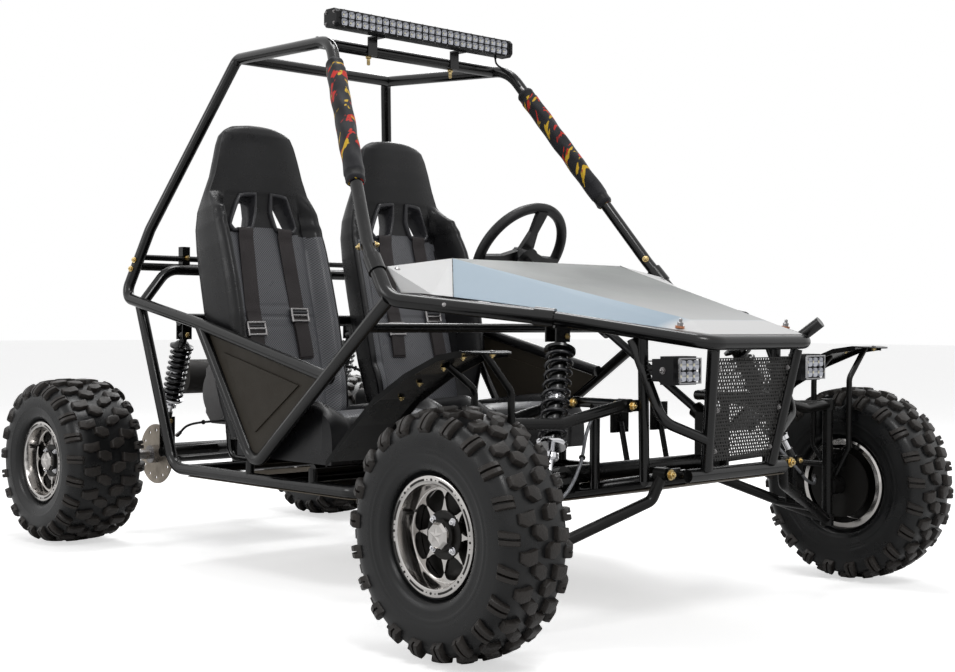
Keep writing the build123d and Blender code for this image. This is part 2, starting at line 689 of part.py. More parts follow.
def rim(centre, face_offset, side):
    """A dished wheel: barrel, outer flange, spoke disc with petal windows and an eight-sided cap."""
    out = face_offset
    back = -face_offset
    disc = out - SPOKE_FACE_DEPTH
    wall = RIM_WALL
    profile = Polyline((back, FLANGE_RADIUS - 6), (back, BARREL_RADIUS), (back + 8, BARREL_RADIUS - wall),
                       (disc - SPOKE_THICKNESS, BARREL_RADIUS - wall - 6), (disc - SPOKE_THICKNESS, 12.0),
                       (disc + 4, 12.0), (disc + 4, CAP_R + 8), (disc, 46.0), (disc, BARREL_RADIUS - wall - 8),
                       (out - 9, BARREL_RADIUS - 2), (out - 3, FLANGE_RADIUS - 18), (out, FLANGE_RADIUS - 15),
                       (out, FLANGE_RADIUS - 2), (out - 4, FLANGE_RADIUS), (out - FLANGE_THICKNESS, FLANGE_RADIUS - 3),
                       (out - FLANGE_THICKNESS, BARREL_RADIUS + 3), (back + 8, BARREL_RADIUS + 3),
                       (back + 8, FLANGE_RADIUS - 6), close=True)
    body = revolve(Plane.XY * make_face(profile), Axis.X)
    window = Polyline((WINDOW_INNER, 0), (WINDOW_INNER + 12, 10), (WINDOW_OUTER - 4, 21), (WINDOW_OUTER, 8),
                      (WINDOW_OUTER, -8), (WINDOW_OUTER - 4, -21), (WINDOW_INNER + 12, -10), close=True)
    face = Plane(origin=(disc + 10, 0, 0), x_dir=(0, 1, 0), z_dir=(1, 0, 0))
    cut = extrude(face * make_face(window), -30)
    cuts = [Rotation(i * 360 / SPOKE_WINDOWS, 0, 0) * cut for i in range(SPOKE_WINDOWS)]
    body -= cuts
    cap_plane = Plane(origin=(disc + 4, 0, 0), z_dir=(1, 0, 0))
    cap = extrude(cap_plane * RegularPolygon(CAP_R, 8), 22, taper=14)
    body += cap
    if side == RIGHT:
        body = mirror(body, about=Plane.YZ)
    return Pos(*centre) * body


HUB_R = 34.0
DISC_R = 82.0
DISC_THICKNESS = 4.0
SPINDLE_R = 12.0


def front_hub(side):
    """The front hub barrel with its brake disc; the wheel bolts to it."""
    disc_x = FRONT_X + FRONT_FACE_OFFSET - SPOKE_FACE_DEPTH - SPOKE_THICKNESS
    inner_x = KINGPIN_X + 52.0
    barrel = rod((inner_x, FRONT_AXLE_Y, FRONT_AXLE_Z), (disc_x - SEAT_GAP, FRONT_AXLE_Y, FRONT_AXLE_Z),
                 HUB_R)
    disc = rod((inner_x, FRONT_AXLE_Y, FRONT_AXLE_Z), (inner_x + DISC_THICKNESS, FRONT_AXLE_Y,
               FRONT_AXLE_Z), DISC_R)
    bore = rod((inner_x - 5, FRONT_AXLE_Y, FRONT_AXLE_Z), (disc_x - 12, FRONT_AXLE_Y, FRONT_AXLE_Z),
               SPINDLE_R + RUNNING_GAP)
    hub = barrel + disc - bore
    return hub if side == LEFT else mirror(hub, about=Plane.YZ)


STEER_ARM_TIP = (508.0, FRONT_AXLE_Y + 145.0, RACK_Z)
STAY_TOP_Z = 560.0
TIE_END_R = 10.0


def knuckle(side):
    """Kingpin post, spindle, steering arm, disc caliper and the two fender stays."""
    post = rod((KINGPIN_X, FRONT_AXLE_Y, KINGPIN_FOOT_Z), (KINGPIN_X, FRONT_AXLE_Y, KINGPIN_TOP_Z), KINGPIN_R)
    disc_x = FRONT_X + FRONT_FACE_OFFSET - SPOKE_FACE_DEPTH - SPOKE_THICKNESS
    spindle = rod((KINGPIN_X, FRONT_AXLE_Y, FRONT_AXLE_Z), (disc_x - 14, FRONT_AXLE_Y, FRONT_AXLE_Z),
                  SPINDLE_R)
    collar = rod((KINGPIN_X, FRONT_AXLE_Y, FRONT_AXLE_Z), (KINGPIN_X + 46, FRONT_AXLE_Y, FRONT_AXLE_Z),
                 24.0)
    arm = tube([(KINGPIN_X, FRONT_AXLE_Y, RACK_Z - 20), (KINGPIN_X - 6, FRONT_AXLE_Y + 80, RACK_Z - 20),
                (STEER_ARM_TIP[0], STEER_ARM_TIP[1], RACK_Z - 20)], 8.0, 60.0)
    boss = rod((STEER_ARM_TIP[0], STEER_ARM_TIP[1], RACK_Z - 28),
               (STEER_ARM_TIP[0], STEER_ARM_TIP[1], RACK_Z - TIE_END_R - SEAT_GAP), 11.0)
    caliper_z = FRONT_AXLE_Z + DISC_R - 14
    caliper = block((18, 46, 44), (KINGPIN_X + 38, FRONT_AXLE_Y, caliper_z))
    caliper_arm = block((24, 24, 20), (KINGPIN_X + 20, FRONT_AXLE_Y, caliper_z))
    pieces = [post, spindle, collar, arm, boss, caliper, caliper_arm]
    stay_x = KINGPIN_X + 29
    for y in (60.0, -42.0):
        top = (FENDER_INNER + 60, FRONT_AXLE_Y + y, fender_z(FRONT_AXLE_Y + y))
        pieces.append(tube([(stay_x, FRONT_AXLE_Y, FRONT_AXLE_Z + 18), (stay_x, FRONT_AXLE_Y + y, 336.0),
                            (stay_x, FRONT_AXLE_Y + y, 508.0), top], 7.0, 24.0))
    whole = weld(pieces) - fender_envelope()
    whole = largest(whole)
    return whole if side == LEFT else mirror(whole, about=Plane.YZ)


def fender_envelope():
    """The space that the fender takes, with the seating gap under it."""
    upper = [(y, z + 60.0) for y, z in FENDER_LINE]
    lower = [(y, z - FENDER_WALL - SEAT_GAP) for y, z in reversed(FENDER_LINE)]
    base = Plane(origin=(FENDER_INNER, 0, 0), x_dir=(0, 1, 0), z_dir=(1, 0, 0))
    return extrude(base * make_face(Polyline(*upper, *lower, close=True)), FENDER_OUTER - FENDER_INNER)


FENDER_INNER = 602.0
FENDER_OUTER = 728.0
FENDER_WALL = 3.0
FENDER_LIP = 12.0
# columns: Y, Z along the top of the fender from rear to front
FENDER_LINE = ((-585.0, 355.0), (-670.0, 434.0), (-735.0, 489.0), (-829.0, 541.0), (-925.0, 579.0),
               (-980.0, 587.0), (-1032.0, 584.0))


def fender_z(y):
    """Height of the fender's underside at a place along it."""
    for (y0, z0), (y1, z1) in zip(FENDER_LINE, FENDER_LINE[1:]):
        if y1 <= y <= y0:
            return z0 + (z1 - z0) * (y - y0) / (y1 - y0) - FENDER_WALL
    raise ValueError("outside the fender")


def fender(side):
    """A formed strip over the tyre with a turned-down outer lip."""
    upper = list(FENDER_LINE)
    lower = [(y, z - FENDER_WALL) for y, z in reversed(FENDER_LINE)]
    skirt = [(y, z - FENDER_LIP) for y, z in reversed(FENDER_LINE)]
    base = Plane(origin=(FENDER_INNER, 0, 0), x_dir=(0, 1, 0), z_dir=(1, 0, 0))
    strip = extrude(base * make_face(Polyline(*upper, *lower, close=True)), FENDER_OUTER - FENDER_INNER)
    lip = extrude(base * make_face(Polyline(*upper, *skirt, close=True)), FENDER_WALL)
    far = Pos(FENDER_OUTER - FENDER_INNER - FENDER_WALL, 0, 0) * lip
    radius = (FENDER_OUTER - FENDER_INNER) / 2
    middle = (FENDER_INNER + FENDER_OUTER) / 2
    front_y, rear_y = FENDER_LINE[-1][0], FENDER_LINE[0][0]
    plan = Pos(middle, (front_y + radius + rear_y) / 2) * Rectangle(2 * radius, rear_y - front_y - radius)
    plan += Pos(middle, front_y + radius) * Circle(radius)
    whole = largest((strip + lip + far) & extrude(plan, 800))
    return whole if side == LEFT else mirror(whole, about=Plane.YZ)


# Front suspension

ARM_TUBE_R = 12.0
ARM_EYE_R = 17.0
BALL_GAP = 0.3


def upper_arms():
    """Two A-shaped upper arms from the frame to the top of each kingpin."""
    return Compound([upper_arm(side) for _, side in SIDES])


def upper_arm(side):
    tip = (KINGPIN_X, FRONT_AXLE_Y, KINGPIN_TOP_Z + 14)
    pieces = []
    # columns: eye's Y, bend's X, bend's Y
    for y, bend_x, bend_y in ((UPPER_FRONT_Y, 430.0, -962.0), (UPPER_REAR_Y, 452.0, -834.0)):
        pieces.append(rod((UPPER_PIVOT_X, y - EYE_LENGTH / 2, UPPER_PIVOT_Z),
                          (UPPER_PIVOT_X, y + EYE_LENGTH / 2, UPPER_PIVOT_Z), EYE_R))
        bend = (bend_x, bend_y, KINGPIN_TOP_Z + 10)
        pieces.append(tube([(UPPER_PIVOT_X + 8, y, UPPER_PIVOT_Z), bend, tip], ARM_TUBE_R, 45.0))
    pieces.append(rod((KINGPIN_X, FRONT_AXLE_Y, KINGPIN_TOP_Z + BALL_GAP),
                      (KINGPIN_X, FRONT_AXLE_Y, KINGPIN_TOP_Z + 28), ARM_EYE_R))
    arm = weld(pieces) - rod((KINGPIN_X, FRONT_AXLE_Y, KINGPIN_TOP_Z - 60),
                             (KINGPIN_X, FRONT_AXLE_Y, KINGPIN_TOP_Z + BALL_GAP), KINGPIN_R + 12)
    return arm if side == LEFT else mirror(arm, about=Plane.YZ)


LOWER_FRONT_EYE = (213.0, -1048.0, 330.0)
LOWER_REAR_EYE = (252.0, -800.0, 284.0)
LOWER_BEND = (234.0, -1036.0, 276.0)
SHOCK_FOOT = (432.0, -930.0, 312.0)


def lower_arms():
    """Two bent lower arms with a shock mount."""
    return Compound([lower_arm(side) for _, side in SIDES])


def lower_arm(side):
    tip = (KINGPIN_X, FRONT_AXLE_Y, KINGPIN_FOOT_Z - 14)
    pieces = [tube([LOWER_FRONT_EYE, LOWER_BEND, tip], ARM_TUBE_R, 22.0), rod(LOWER_REAR_EYE, tip, ARM_TUBE_R)]
    for x, y, z in (LOWER_FRONT_EYE, LOWER_REAR_EYE):
        pieces.append(rod((x, y - EYE_LENGTH / 2, z), (x, y + EYE_LENGTH / 2, z), EYE_R))
    pieces.append(rod((KINGPIN_X, FRONT_AXLE_Y, KINGPIN_FOOT_Z - 28),
                      (KINGPIN_X, FRONT_AXLE_Y, KINGPIN_FOOT_Z - BALL_GAP), ARM_EYE_R))
    front = between(LOWER_BEND, tip, (SHOCK_FOOT[0] - LOWER_BEND[0]) / (tip[0] - LOWER_BEND[0]))
    rear = between(LOWER_REAR_EYE, tip, (SHOCK_FOOT[0] - LOWER_REAR_EYE[0]) / (tip[0] - LOWER_REAR_EYE[0]))
    pieces.append(rod(front, rear, ARM_TUBE_R))
    cross_z = (front[2] + rear[2]) / 2
    ear_top = SHOCK_FOOT[2] + 12.0
    for step in (-1, 1):
        y = SHOCK_FOOT[1] + step * (SHOCK_EYE_LENGTH / 2 + SEAT_GAP + TAB / 2)
        pieces.append(block((26.0, TAB, ear_top - cross_z), (SHOCK_FOOT[0], y, (ear_top + cross_z) / 2)))
    arm = weld(pieces)
    arm -= rod((KINGPIN_X, FRONT_AXLE_Y, KINGPIN_FOOT_Z - BALL_GAP), (KINGPIN_X, FRONT_AXLE_Y, KINGPIN_FOOT_Z + 60),
               KINGPIN_R + 12)
    return arm if side == LEFT else mirror(arm, about=Plane.YZ)


SHOCK_EYE_LENGTH = 25.0
SHOCK_TOP = (296.0, -838.0, 612.0)
SPRING_R = 31.0
SPRING_WIRE = 7.0
REAR_SHOCK_TOP = (300.0, 620.0, 600.0)
REAR_SHOCK_FOOT = (300.0, 706.0, 352.0)


def shock(top, foot, side):
    """A coil-over: eyes, damper body, spring seats and the spring as a sleeve of rings."""
    top = on_side(top, side)
    foot = on_side(foot, side)
    length = math.dist(top, foot)

    def at(distance):
        return between(foot, top, distance / length)

    pieces = [rod(at(0), at(length), 7.0), rod(at(28), at(length * 0.45), 17.0),
              rod(at(length * 0.26), at(length * 0.26 + 8), SPRING_R + 2),
              rod(at(length - 38), at(length - 30), SPRING_R + 2)]
    for end in (at(0), at(length)):
        pieces.append(rod((end[0], end[1] - SHOCK_EYE_LENGTH / 2, end[2]),
                          (end[0], end[1] + SHOCK_EYE_LENGTH / 2, end[2]), 13.0))
    coils = 8
    low = length * 0.26 + 8
    high = length - 38
    pitch = (high - low) / coils
    for i in range(coils):
        start = low + (i + 0.5) * pitch - SPRING_WIRE / 2
        pieces.append(rod(at(start), at(start + SPRING_WIRE), SPRING_R))
    core = rod(at(low - 1), at(high + 1), 19.0)
    pieces.append(core)
    return weld(pieces)


def shocks(top, foot):
    return Compound([shock(top, foot, side) for _, side in SIDES])


# Rear running gear

AXLE_R = 15.0
CARRIER_HALF = 140.0
SWING_X = 120.0


def swing_arm():
    """The rear arm: pivot tube, two side arms, shock cross tube and the axle carrier."""
    carrier = rod((-CARRIER_HALF, REAR_AXLE_Y, REAR_AXLE_Z), (CARRIER_HALF, REAR_AXLE_Y, REAR_AXLE_Z), 30.0)
    pivot_half = CRADLE_X - LIGHT_TUBE_R - SEAT_GAP
    pieces = [carrier, rod((-pivot_half, PIVOT_Y, PIVOT_Z), (pivot_half, PIVOT_Y, PIVOT_Z), 16.0)]
    pieces.append(rod((-REAR_SHOCK_FOOT[0] - 20, REAR_SHOCK_FOOT[1], SWING_CROSS_Z),
                      (REAR_SHOCK_FOOT[0] + 20, REAR_SHOCK_FOOT[1], SWING_CROSS_Z), 14.0))
    for x in (-SWING_X, SWING_X):
        pieces.append(rod((x, PIVOT_Y, PIVOT_Z), (x, REAR_AXLE_Y, REAR_AXLE_Z), 17.0))
    for _, side in SIDES:
        for y in (-15.0, 15.0):
            pieces.append(block((30, 4, REAR_SHOCK_FOOT[2] - SWING_CROSS_Z + 26),
                                (side * REAR_SHOCK_FOOT[0], REAR_SHOCK_FOOT[1] + y,
                                 (REAR_SHOCK_FOOT[2] + SWING_CROSS_Z) / 2)))
    bore = rod((-CARRIER_HALF - 20, REAR_AXLE_Y, REAR_AXLE_Z), (CARRIER_HALF + 20, REAR_AXLE_Y, REAR_AXLE_Z),
               AXLE_R + RUNNING_GAP)
    return weld(pieces) - bore


SWING_CROSS_Z = PIVOT_Z + (REAR_AXLE_Z - PIVOT_Z) * (REAR_SHOCK_FOOT[1] - PIVOT_Y) / (REAR_AXLE_Y - PIVOT_Y)
REAR_DISC_X = -192.0
SPROCKET_X = 178.0
SPROCKET_R = 88.0


def rear_axle():
    """The live axle with a hub flange at each end."""
    disc_x = REAR_X + REAR_FACE_OFFSET - SPOKE_FACE_DEPTH - SPOKE_THICKNESS
    end = disc_x - SEAT_GAP
    shaft = rod((-end, REAR_AXLE_Y, REAR_AXLE_Z), (end, REAR_AXLE_Y, REAR_AXLE_Z), AXLE_R)
    pieces = [shaft]
    for _, side in SIDES:
        pieces.append(rod((side * (end - 90), REAR_AXLE_Y, REAR_AXLE_Z), (side * end, REAR_AXLE_Y, REAR_AXLE_Z), 26.0))
        pieces.append(rod((side * (end - 10), REAR_AXLE_Y, REAR_AXLE_Z), (side * end, REAR_AXLE_Y, REAR_AXLE_Z), 62.0))
    for x in (REAR_DISC_X, SPROCKET_X):
        pieces.append(rod((x - 24, REAR_AXLE_Y, REAR_AXLE_Z), (x + 24, REAR_AXLE_Y, REAR_AXLE_Z), 27.0))
    return weld(pieces)


def rear_disc():
    """The drilled brake disc on its carrier."""
    x = REAR_DISC_X
    disc = rod((x - 2, REAR_AXLE_Y, REAR_AXLE_Z), (x + 2, REAR_AXLE_Y, REAR_AXLE_Z), 90.0)
    hole = rod((x - 5, REAR_AXLE_Y, REAR_AXLE_Z + 72), (x + 5, REAR_AXLE_Y, REAR_AXLE_Z + 72), 5.0)
    disc -= rod((x - 5, REAR_AXLE_Y, REAR_AXLE_Z), (x + 5, REAR_AXLE_Y, REAR_AXLE_Z), 27.0 + SEAT_GAP)
    turns = 12
    spin = Pos(0, REAR_AXLE_Y, REAR_AXLE_Z)
    home = Pos(0, -REAR_AXLE_Y, -REAR_AXLE_Z)
    disc -= [spin * Rotation(i * 360 / turns, 0, 0) * home * hole for i in range(turns)]
    return disc


SPROCKET_TEETH = 36


def sprocket():
    """The axle sprocket with its teeth."""
    x = SPROCKET_X
    root = SPROCKET_R - 6
    points = []
    for i in range(SPROCKET_TEETH):
        for share, radius in ((0.0, root), (0.35, SPROCKET_R), (0.5, SPROCKET_R), (0.85, root)):
            angle = 2 * math.pi * (i + share) / SPROCKET_TEETH
            points.append((radius * math.cos(angle), radius * math.sin(angle)))
    face = make_face(Polyline(*points, close=True)) - Circle(27.0 + SEAT_GAP)
    plane = Plane(origin=(x - 2.5, REAR_AXLE_Y, REAR_AXLE_Z), z_dir=(1, 0, 0))
    return extrude(plane * face, 5.0)


ENGINE_CENTRE = (0.0, 690.0, 430.0)
ENGINE_HEIGHT = 190.0


def engine():
    """The engine and gearbox as one plain block with a finned barrel."""
    x, y, z = ENGINE_CENTRE
    case = block((230, 240, ENGINE_HEIGHT), (x, y - 20, z))
    case = chamfer(case.edges().filter_by(Axis.X), 30.0)
    cover = rod((x + 115, y - 20, z), (x + 150, y - 20, z), 80.0)
    fan = rod((x - 115, y - 20, z), (x - 155, y - 20, z), 76.0)
    barrel = rod((x, y - 40, z + 70), (x, y - 95, z + 215), 50.0)
    pieces = [case, cover, fan, barrel]
    for i in range(5):
        low = between((x, y - 40, z + 70), (x, y - 95, z + 215), 0.35 + i * 0.13)
        high = between((x, y - 40, z + 70), (x, y - 95, z + 215), 0.37 + i * 0.13)
        pieces.append(rod(low, high, 66.0))
    return weld(pieces)


def fuel_tank():
    """A moulded tank behind the left seat."""
    width, depth, height = 200.0, 130.0, 180.0
    z = FLOOR_Z + CROSS_R + SEAT_GAP + height / 2
    tank = fillet(block((width, depth, height), (SEAT_X + 30, CRADLE_Y, z)).edges(), 22.0)
    neck = SEAT_X + 60
    return tank + rod((neck, CRADLE_Y, z + height / 2 - 5), (neck, CRADLE_Y, z + height / 2 + 24), 28.0)


def muffler():
    """The exhaust can across the back with its header pipe."""
    can = rod((-130, 905, 470), (150, 905, 470), 52.0)
    pipe = tube([(70.7, 600, 600), (128, 620, 600), (128, 905, 575), (128, 905, 500)], 14.0, 35.0)
    return can + pipe


# Steering

def steering_axis():
    angle = math.radians(COLUMN_ANGLE)
    return Vector(0, math.cos(angle), math.sin(angle))


SPOKE_ANGLES = (172.0, 8.0, 270.0)


def steering_wheel():
    """Rim, three spokes, hub pad and the shaft down to the rack."""
    axis = steering_axis()
    centre = Vector(*WHEEL_CENTRE)
    plane = Plane(origin=centre, x_dir=(1, 0, 0), z_dir=axis)
    section = Plane(origin=centre + plane.y_dir * STEER_WHEEL_R, x_dir=plane.y_dir, z_dir=plane.x_dir)
    ring = revolve(section * Circle(STEER_RIM_R), Axis(centre, axis))
    hub = extrude(Plane(origin=centre - axis * 34, x_dir=(1, 0, 0), z_dir=axis) * Circle(36), 24)
    pieces = [ring, hub]
    for degrees in SPOKE_ANGLES:
        turn = math.radians(degrees)
        out = plane.x_dir * math.cos(turn) + plane.y_dir * math.sin(turn)
        blade = Plane(origin=centre - axis * 12, x_dir=out, z_dir=axis)
        reach = STEER_WHEEL_R - 3.0
        shape = Polyline((16, -26), (reach * 0.55, -13), (reach, -19), (reach, 19), (reach * 0.55, 13), (16, 26),
                         close=True)
        pieces.append(extrude(blade * make_face(shape), 6.0, both=True))
    foot = centre - axis * COLUMN_LENGTH
    pieces.append(rod(tuple(centre - axis * 20), tuple(foot), COLUMN_R))
    return weld(pieces)


COLUMN_DROP = 26.4


def column_support():
    """The bearing tube under the dash and its cross tube, which ends on the legs of the side frames."""
    axis = steering_axis()
    angle = math.radians(COLUMN_ANGLE)
    run = HOOD_REAR[1] - VEE_BOTTOM[1]
    rise = HOOD_REAR[2] - VEE_BOTTOM[2]
    start_y = WHEEL_CENTRE[1] + COLUMN_DROP * math.sin(angle) - VEE_BOTTOM[1]
    start_z = WHEEL_CENTRE[2] - COLUMN_DROP * math.cos(angle) - VEE_BOTTOM[2]
    bearing = (start_y * rise - start_z * run) / (axis.Y * rise - axis.Z * run)
    leg_share = (start_y - axis.Y * bearing) / run
    cross_half = between(VEE_BOTTOM, HOOD_REAR, leg_share)[0]
    middle = Vector(*WHEEL_CENTRE) - axis * bearing
    sleeve = rod(tuple(middle + axis * 60), tuple(middle - axis * 60), COLUMN_R + 8)
    bore = rod(tuple(middle + axis * 70), tuple(middle - axis * 70), COLUMN_R + RUNNING_GAP)
    cross_y = middle.Y + COLUMN_DROP * math.sin(angle)
    cross_z = middle.Z - COLUMN_DROP * math.cos(angle)
    cross = rod((-cross_half, cross_y, cross_z), (cross_half, cross_y, cross_z), LIGHT_TUBE_R)
    for _, side in SIDES:
        cross = largest(cross - side_tubes(side, TUBE_R + SEAT_GAP)[1])
    return sleeve + cross - bore


SEAT_BAR_Y = 340.3


def seat_bar():
    """The cross tube behind the seats, between the side rails."""
    share = (SEAT_BAR_Y - VEE_REAR[1]) / (STAY_FOOT[1] - VEE_REAR[1])
    x, y, z = between(VEE_REAR, STAY_FOOT, share)
    bar = rod((-x, y, z), (x, y, z), TUBE_R)
    for _, side in SIDES:
        bar = largest(bar - side_tubes(side, TUBE_R + SEAT_GAP)[0])
    return bar


ARCH_Y = 560.0
ARCH_HALF = 392.0
ARCH_Z = 781.0


def rear_arch():
    """The hoop behind the seats, from one side rail to the other."""
    share = (ARCH_Y - VEE_REAR[1]) / (STAY_FOOT[1] - VEE_REAR[1])
    foot = between(VEE_REAR, STAY_FOOT, share)
    bend = (ARCH_HALF, ARCH_Y, ARCH_Z)
    hoop = tube([on_side(foot, RIGHT), on_side(bend, RIGHT), bend, foot], CROSS_R, 70.0)
    for _, side in SIDES:
        hoop = largest(hoop - side_tubes(side, TUBE_R + SEAT_GAP)[0])
    return hoop


# columns: Z, tube radius
HARNESS_TUBES = ((790.0, 11.0), (815.0, 8.0))
HARNESS_BRACKET_X = 300.0


def harness_bars():
    """Two cross tubes between the rear stays, one above the other, joined by two brackets."""
    pieces = []
    for z, radius in HARNESS_TUBES:
        share = (z - STAY_BEND[2]) / (STAY_FOOT[2] - STAY_BEND[2])
        x, y, _ = between(STAY_BEND, STAY_FOOT, share)
        bar = rod((-x, y, z), (x, y, z), radius)
        for _, side in SIDES:
            bar = largest(bar - tube(stay_path(side), TUBE_R + SEAT_GAP, STAY_BENDS))
            bar = largest(bar - side_tubes(side, TUBE_R + SEAT_GAP)[0])
        pieces.append(bar)
    low, high = HARNESS_TUBES[0][0] - 6.0, HARNESS_TUBES[1][0] + 34.0
    for _, side in SIDES:
        pieces.append(block((24.0, 22.0, high - low), (side * HARNESS_BRACKET_X, y + 4.0, (low + high) / 2)))
    return weld(pieces)


def rack():
    """The steering rack housing, the pinion box on it and the foot bearing of the column."""
    axis = steering_axis()
    foot = Vector(*WHEEL_CENTRE) - axis * COLUMN_LENGTH
    tube_part = rod((-RACK_HALF, RACK_Y, RACK_Z), (RACK_HALF, RACK_Y, RACK_Z), 20.0)
    bearing = rod(tuple(foot + axis * 30), tuple(foot - axis * 24), 20.0)
    depth = abs(foot.Y - RACK_Y) + 34.0
    height = foot.Z - RACK_Z + 10.0
    box = block((40.0, depth, height), (foot.X, (foot.Y + RACK_Y) / 2, RACK_Z + height / 2))
    box = chamfer(box.edges().filter_by(Axis.Z), 6.0)
    bore = rod(tuple(foot - axis * RUNNING_GAP), tuple(foot + axis * 60), COLUMN_R + RUNNING_GAP)
    return tube_part + box + bearing - bore


def tie_rods():
    """The rods from the rack to the steering arms; their outer eyes stand on the arms' bosses."""
    rods = []
    for _, side in SIDES:
        tip = on_side(STEER_ARM_TIP, side)
        inner = (side * (RACK_HALF + 1.4), RACK_Y, RACK_Z)
        rods.append(rod(inner, tip, 7.0) + rod((tip[0], tip[1], tip[2] - TIE_END_R), (tip[0], tip[1], tip[2] + TIE_END_R), 12.0))
    return Compound([r.solid() for r in rods])


def pedals():
    """Brake and throttle pedals on a cross rod in front of the left seat."""
    y, z = PINCH_Y, FLOOR_Z + TUBE_R + SEAT_GAP + 9
    pieces = [rod((120, y, z), (330, y, z), 9.0)]
    for x in (150.0, 300.0):
        pieces.append(rod((x, y, z), (x, y + 30, z + 130), 7.0))
        pieces.append(block((60, 8, 70), (x, y + 34, z + 140)))
    return weld(pieces)


POD_CENTRE = (224.0, -1086.0, 545.0)


def pod_lamps():
    """Two cube lamps with a finned back and a mounting foot."""
    lamps = []
    for _, side in SIDES:
        x, y, z = on_side(POD_CENTRE, side)
        body = block((74, 34, 58), (x, y - 10, z))
        back = block((56, 30, 46), (x, y + 21, z))
        recess = block((64, 6, 48), (x, y - 27, z))
        lamps.append(body + back - recess)
    return Compound([lamp.solid() for lamp in lamps])


def harness(side):
    """Two shoulder belts from the back's slots down to the lap."""
    lean = math.radians(BACK_LEAN)
    up = Vector(0, math.sin(lean), math.cos(lean))
    out = Vector(0, -math.cos(lean), math.sin(lean))
    origin = Vector(side * SEAT_X, BACK_FOOT_Y, BACK_FOOT_Z)
    straps = []
    plane = Plane(origin=origin + out * SEAT_GAP, x_dir=(1, 0, 0), z_dir=out)
    high = SLOT_HEIGHT + SLOT_EDGES[1][0] - 5
    low = 205.0
    half = BELT_WIDTH / 2
    for s in (RIGHT, LEFT):
        top, foot = s * BELT_TOP_X, s * BELT_FOOT_X
        strip = Polyline((top - half, high), (top + half, high), (foot + half, low), (foot - half, low), close=True)
        straps.append(extrude(plane * make_face(strip), 3.0))
    return Compound([s.solid() for s in straps])


write("main_frame", main_frame())
both("side_frame", side_frame)
both("front_pillar", front_pillar)
both("roof_hoop", roof_hoop)
both("rear_stay", rear_stay)
write("roof_bars", roof_bars())
write("light_bar", light_bar())
write("front_frame", front_frame())
write("grille", grille())
write("hood_shell", hood_shell())
write("hood_panel", hood_panel())
both("side_panel", side_panel)
write("floor_pan", floor_pan())
both("seat_back", seat_back)
both("seat_cushion", seat_cushion)
both("roof_pad", roof_pad)
for word, side in SIDES:
    write(f"front_tyre_{word}", tyre((side * FRONT_X, FRONT_AXLE_Y, FRONT_AXLE_Z), FRONT_TYRE_RADIUS,
                                     FRONT_TYRE_WIDTH, FRONT_FACE_OFFSET))
    write(f"front_rim_{word}", rim((side * FRONT_X, FRONT_AXLE_Y, FRONT_AXLE_Z), FRONT_FACE_OFFSET, side))
    write(f"rear_tyre_{word}", tyre((side * REAR_X, REAR_AXLE_Y, REAR_AXLE_Z), REAR_TYRE_RADIUS,
                                    REAR_TYRE_WIDTH, REAR_FACE_OFFSET))
    write(f"rear_rim_{word}", rim((side * REAR_X, REAR_AXLE_Y, REAR_AXLE_Z), REAR_FACE_OFFSET, side))
both("front_hub", front_hub)
both("knuckle", knuckle)
both("fender", fender)
write("upper_arms", upper_arms())
write("lower_arms", lower_arms())
write("front_shocks", shocks(SHOCK_TOP, SHOCK_FOOT))
write("rear_shocks", shocks(REAR_SHOCK_TOP, REAR_SHOCK_FOOT))
write("swing_arm", swing_arm())
write("rear_axle", rear_axle())
write("rear_disc", rear_disc())
write("sprocket", sprocket())
write("engine", engine())
write("fuel_tank", fuel_tank())
write("muffler", muffler())
write("steering_wheel", steering_wheel())
write("column_support", column_support())
write("seat_bar", seat_bar())
write("rear_arch", rear_arch())
write("harness_bars", harness_bars())
write("rack", rack())
write("tie_rods", tie_rods())
write("pedals", pedals())
write("pod_lamps", pod_lamps())
both("harness", harness)
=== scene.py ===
import json
import math

import bmesh
import bpy
from bpy.props import FloatProperty, FloatVectorProperty, IntProperty, PointerProperty
from mathutils import Matrix, Vector, noise


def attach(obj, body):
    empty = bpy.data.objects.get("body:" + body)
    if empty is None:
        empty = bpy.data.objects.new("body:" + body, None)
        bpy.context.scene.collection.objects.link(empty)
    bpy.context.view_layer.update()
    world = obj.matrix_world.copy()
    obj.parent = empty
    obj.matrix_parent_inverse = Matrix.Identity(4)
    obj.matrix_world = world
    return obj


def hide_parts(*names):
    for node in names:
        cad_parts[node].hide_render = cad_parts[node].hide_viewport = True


bl_info = {
    "name": "Two-seat kart dressing",
    "version": (1, 0, 0),
    "blender": (4, 5, 0),
    "location": "3D View > Sidebar > Kart",
    "description": "Builds the finished surfaces and small pieces of a two-seat off-road kart",
    "category": "Object",
}

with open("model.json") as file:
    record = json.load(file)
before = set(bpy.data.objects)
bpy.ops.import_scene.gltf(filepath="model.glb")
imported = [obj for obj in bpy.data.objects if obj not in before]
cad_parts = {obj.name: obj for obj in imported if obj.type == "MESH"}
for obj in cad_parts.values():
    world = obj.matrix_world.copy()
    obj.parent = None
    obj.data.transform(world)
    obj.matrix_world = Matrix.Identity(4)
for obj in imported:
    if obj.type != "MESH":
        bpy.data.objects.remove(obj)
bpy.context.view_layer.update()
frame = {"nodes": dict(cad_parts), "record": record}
MM = 0.001
SIDES = (("right", -1), ("left", 1))


def mm(x, y, z):
    """A place given in millimetres."""
    return Vector((x, y, z)) * MM


def mirrored(point, side):
    return Vector((point.x * side, point.y, point.z))


def mix(a, b, share):
    return a + (b - a) * share


